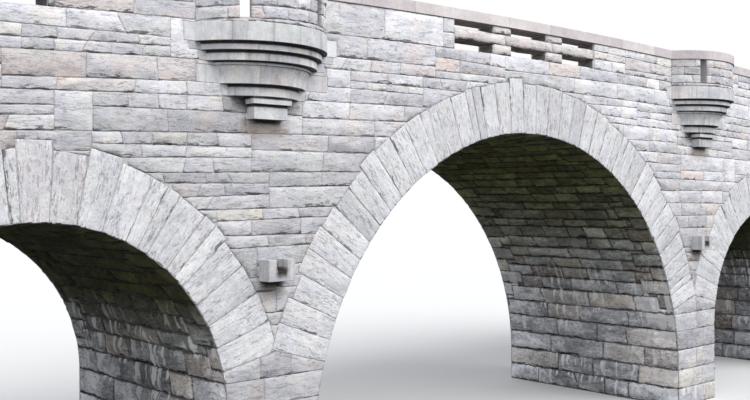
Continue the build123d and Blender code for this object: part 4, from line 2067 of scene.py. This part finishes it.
@dataclass
class Balcony(SubAssembly):
    """One balcony: its smooth corbel rings and blocks, its floor, and its rough round wall.

    A ring is given by its radius, its height and the number of its stones, the cove by the radii of
    its top and its foot, its height and its hollow, and a block by its width, reach and height. The
    tails are how far the courses run on beside the rings, flat in the wall.
    """

    face: Face
    end: End
    core: float = 0.69
    rings: tuple[tuple[float, float, int], ...] = (
        (1.557, 0.310, 5),
        (1.459, 0.134, 4),
        (1.371, 0.165, 4),
        (1.262, 0.062, 3),
    )
    cove: tuple[float, float, float, float] = (1.236, 1.161, 0.298, 0.026)
    foot: Pair = (1.047, 0.191)
    foot_stones: int = 3
    blocks: tuple[Triple, ...] = ((0.80, 0.28, 0.126), (0.70, 0.215, 0.253))
    tails: tuple[float, ...] = (0.19, 0.20, 0.12, 0.28, 0.34, 0.10)
    right_longer: float = 1.04
    tail_start: float = 0.5
    tail_proud: float = 0.012
    joint: float = 0.003
    sunk: float = 0.03
    lap: float = 0.01
    floor_depth: float = 0.10
    arris: float = 0.008

    @property
    def centre(self) -> Array:
        """Axis of the balcony in plan."""
        y = self.face.value * (BRIDGE.face - BRIDGE.setback)
        return np.array((self.end.value * BRIDGE.balcony_axis, y))

    @property
    def label(self) -> str:
        """Ending of the names of its pieces and nodes."""
        return f"{self.face.label}_{self.end.label}"

    def courses(self) -> list[tuple[float, float, float, float]]:
        """Left and right ends and both beds of each smooth course, with its flat ends in the wall."""
        level, found = BRIDGE.kerb_level, []
        stack = (*(ring[:2] for ring in self.rings), (self.cove[0], self.cove[2]), self.foot)
        for (radius, height), tail in zip(stack, self.tails):
            half = math.sqrt(radius**2 - BRIDGE.setback**2) + tail
            x = self.centre[0]
            found.append((x - half, x + half * self.right_longer, level - height, level))
            level -= height
        return found

    def build(self) -> None:
        """Builds the rings and blocks from the top down, the floor, and the flat ends."""
        work = DressedStones(f"corbel_rings_{self.label}", self.seed)
        level = BRIDGE.kerb_level
        for number, (radius, height, stones) in enumerate(self.rings):
            core = self.core if number else BRIDGE.balcony_radius - BRIDGE.balcony_wall
            self._ring(work, rectangle(core, radius, level - height, level), radius, stones, number > 0)
            level -= height
        _, foot, height, _ = self.cove
        self._ring(work, self._cove_profile(level), foot, self.foot_stones, False)
        level -= height
        radius, height = self.foot
        profile = rectangle(self.core, radius, level - height, level)
        self._ring(work, profile, radius, self.foot_stones, True)
        level -= height
        x, gap = self.centre[0], self.joint
        for width, reach, height in self.blocks:
            self._slab(work, (x - width / 2, x + width / 2), reach, (level - height, level))
            level -= height
        self._floor(work)
        for left, right, low, high in self.courses():
            for start, end in ((left, x - self.tail_start), (x + self.tail_start, right)):
                beds = (low + gap, high - gap)
                self._slab(work, (start + gap, end - gap), self.tail_proud, beds, False)
        piece = work.rounded(self.kit.finishes[Slot.CORBEL], self.arris)
        join_part(piece, Slot.CORBEL, f"balcony_corbel_{self.label}")
        self._wall()

    def _cove_profile(self, level: float) -> Array:
        """Outline of the cove, by radius and height.

        Args:
            level: Height of its top.

        Returns:
            The corners, counter-clockwise.
        """
        top, foot, height, hollow = self.cove
        turns = np.linspace(0.0, math.pi, 7)
        sag = np.interp(turns, (0.0, math.pi), (foot, top)) - np.sin(turns) * hollow
        heights = np.interp(turns, (0.0, math.pi), (level - height, level))
        curve = np.column_stack((sag, heights))
        return np.vstack(([(self.core, level - height)], curve, [(self.core, level)]))

    def _ring(
        self, work: DressedStones, profile: Array, radius: float, stones: int, covered: bool
    ) -> None:
        """Adds one ring, cut into stones, that ends just inside the face of the bridge."""
        limit = math.acos((BRIDGE.setback - self.sunk) / radius)
        for turns in pairwise(np.linspace(-limit, limit, stones + 1)):
            work.sector(profile, self.centre, self.face.value, turns, covered)

    def _slab(
        self, work: DressedStones, ends: Pair, reach: float, beds: Pair, covered: bool = True
    ) -> None:
        """Adds a block that stands out from the face of the bridge."""
        near, far = sorted(self.face.value * (BRIDGE.face + d) for d in (-self.sunk, reach))
        work.prism(rectangle(*ends, near, far), *beds, covered)

    def _floor(self, work: DressedStones) -> None:
        """Adds the floor between the road and the kerb."""
        inner = BRIDGE.balcony_radius - BRIDGE.balcony_wall
        limit = math.acos((BRIDGE.setback - 2 * self.lap) / inner)
        turns = np.linspace(-limit, limit, 16)
        plan = counter_clockwise(balcony_plan(self.face, self.centre[0], turns, inner + self.lap))
        work.prism(plan, BRIDGE.floor_level - self.floor_depth, BRIDGE.floor_level)

    def _wall(self) -> None:
        """Builds both faces of the rough round wall, with its slits."""
        dressing = Dressing(grain=0.07, proud=(0.006, 0.024), tone=-1.0)
        work = RockStones(f"balcony_stones_{self.label}", self.seed + 7, dressing)
        top, outer, half = BRIDGE.coping_bed, BRIDGE.balcony_radius, BRIDGE.slit_width / 2
        base = BRIDGE.kerb_level + (BRIDGE.road - BRIDGE.floor_level)
        sill = base + BRIDGE.slit_sill
        for radius, foot, line, hollow in (
            (outer, base, BRIDGE.setback, False),
            (outer - BRIDGE.balcony_wall, base - BRIDGE.kerb, BRIDGE.setback - BRIDGE.parapet, True),
        ):
            surface = Drum(*self.centre, radius, self.face.value, hollow)
            reach = math.acos(line / radius) * radius
            beds = [foot, *np.linspace(sill, top, 4)]
            slit = math.radians(BRIDGE.slit_turn) * radius
            slits = [rectangle(x - half, x + half, sill, top + CLEAR) for x in (-slit, slit)]
            cutters = [dense(outline, 0.1) for outline in slits]
            work.lay_all(DRUM_COURSES.level((-reach, reach), beds, work.rng), surface, cutters)
        work.finish(self.kit, Slot.ROUGH, Undercut=0.014)


@dataclass
class Spouts(SubAssembly):
    """The two drain spouts of one face, each a block with an open channel."""

    face: Face
    width: float = 0.55
    height: float = 0.375
    reach: float = 0.32
    sunk: float = 0.03
    channel: float = 0.23
    depth: float = 0.21
    arris: float = 0.010

    def build(self) -> None:
        """Builds both spouts."""
        node = f"spouts_{self.face.label}"
        work = DressedStones(f"spout_stones_{self.face.label}", self.seed)
        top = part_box(node)[1].z
        turns = np.linspace(math.pi, 2 * math.pi, 13)
        half = self.channel / 2
        bed = np.column_stack((np.cos(turns) * half, top - self.depth + half + np.sin(turns) * half))
        side, low = self.width / 2, top - self.height
        block = [(-side, low), (side, low), (side, top), (half, top)]
        outline = np.vstack((block, bed[::-1], [(-half, top), (-side, top)]))
        near, far = sorted(self.face.value * (BRIDGE.face + d) for d in (-self.sunk, self.reach))
        for end in End:
            work.prism(outline + (end.value * BRIDGE.pier_axis, 0.0), near, far, lying=True)
        join_part(work.rounded(self.kit.finishes[Slot.CORBEL], self.arris), Slot.CORBEL, node)


# The place where the bridge stands


@dataclass(frozen=True)
class Studio:
    """Floor, light and camera."""

    camera_place: Triple = (-16.612, -16.470, 5.532)
    yaw: float = 0.7235
    roll: float = -0.0054
    lens: float = 45.683
    far: float = 500.0
    sky: float = 0.66
    sun: float = 2.20
    fill: float = 0.50
    softness: float = 50.0
    ground: float = 0.14
    half_floor: float = 400.0

    def build(self) -> None:
        """Sets up the floor, the light and the camera."""
        self._floor()
        self._light()
        self._camera()

    def _floor(self) -> None:
        """Pale floor, darker to bounced light than to the camera, as open ground is."""
        half = self.half_floor
        points = np.column_stack((rectangle(-half, half, -half, half), np.zeros(4)))
        floor = mesh_object("floor", points, [(0, 1, 2, 3)])
        material, graph, _ = new_material("floor")
        seen = graph.add("ShaderNodeLightPath", output="Is Camera Ray")
        colour = graph.mix(seen, (self.ground,) * 3, (0.88, 0.88, 0.88))
        shader = graph.add("ShaderNodeBsdfDiffuse", {"Color": colour})
        graph.add("ShaderNodeOutputMaterial", (shader,))
        floor.data.materials.append(material)

    def _light(self) -> None:
        """A soft sun on the front face and a weak low fill, under a pale sky."""
        lamps = {"key": (self.sun, (-0.30, 0.90, -0.85)), "fill": (self.fill, (0.80, 0.50, -0.30))}
        for name, (strength, aim) in lamps.items():
            lamp = bpy.data.lights.new(name, "SUN")
            lamp.energy = strength
            lamp.angle = math.radians(self.softness)
            placed = linked(name, lamp)
            placed.rotation_mode = "QUATERNION"
            placed.rotation_quaternion = Vector(aim).to_track_quat("-Z", "Y")
        world = bpy.data.worlds.new("sky")
        world.use_nodes = True
        graph = Graph(world.node_tree)
        seen = graph.add("ShaderNodeLightPath", output="Is Camera Ray")
        colour = graph.mix(seen, (0.94, 0.96, 1.0), (1.0, 1.0, 1.0))
        inputs = {"Color": colour, "Strength": seen * (1.0 - self.sky) + self.sky}
        graph.add("ShaderNodeOutputWorld", (graph.add("ShaderNodeBackground", inputs),))
        bpy.context.scene.world = world

    def _camera(self) -> None:
        """Camera at the photograph's viewing angle."""
        data = bpy.data.cameras.new("camera")
        data.lens = self.lens
        data.clip_end = self.far
        camera = linked("camera", data)
        forward = Vector((math.sin(self.yaw), math.cos(self.yaw), 0.0))
        level = Vector((math.cos(self.yaw), -math.sin(self.yaw), 0.0))
        up = Vector((0.0, 0.0, 1.0))
        right = level * math.cos(self.roll) + up * math.sin(self.roll)
        top = up * math.cos(self.roll) - level * math.sin(self.roll)
        turn = Matrix((right, top, -forward)).transposed()
        camera.matrix_world = Matrix.Translation(self.camera_place) @ turn.to_4x4()
        bpy.context.scene.camera = camera
        bpy.context.scene.view_settings.view_transform = "Standard"


def dress_nodes(mortar: Material, gravel: Material) -> None:
    """Gives the CAD nodes that stay in view the finish of the joints or of the road."""
    for name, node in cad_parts.items():
        node.data.materials.clear()
        node.data.materials.append(gravel if name == "roadway" else mortar)


def main() -> None:
    """Builds the pieces in order."""
    logging.basicConfig(level=logging.INFO, format="%(message)s")
    finishes = {finish.slot: StonePaint(finish).build() for finish in FINISHES}
    dress_nodes(MORTAR.build(), GRAVEL.build())
    kit = Kit(rock_face_tree(), coping_tree(), finishes)
    arches = BRIDGE.arches()
    for seed, face in zip((100, 1100), Face):
        rings = [ArchRing(kit, seed + 10 * i, face, arch) for i, arch in enumerate(arches)]
        for ring in rings:
            ring.build(rings)
        LongWall(kit, seed + 100, face, rings).build()
        Parapet(kit, seed + 200, face).build()
        Coping(kit, seed + 300, face).build()
        Spouts(kit, seed + 350, face).build()
        for end in End:
            Balcony(kit, seed + 400 + end.value, face, end).build()
    for seed, arch in enumerate(arches, 500):
        Vault(kit, seed, arch).build()
    for end in End:
        EndWall(kit, 700 + end.value, end).build()
    Studio().build()


if __name__ == "__main__":
    main()
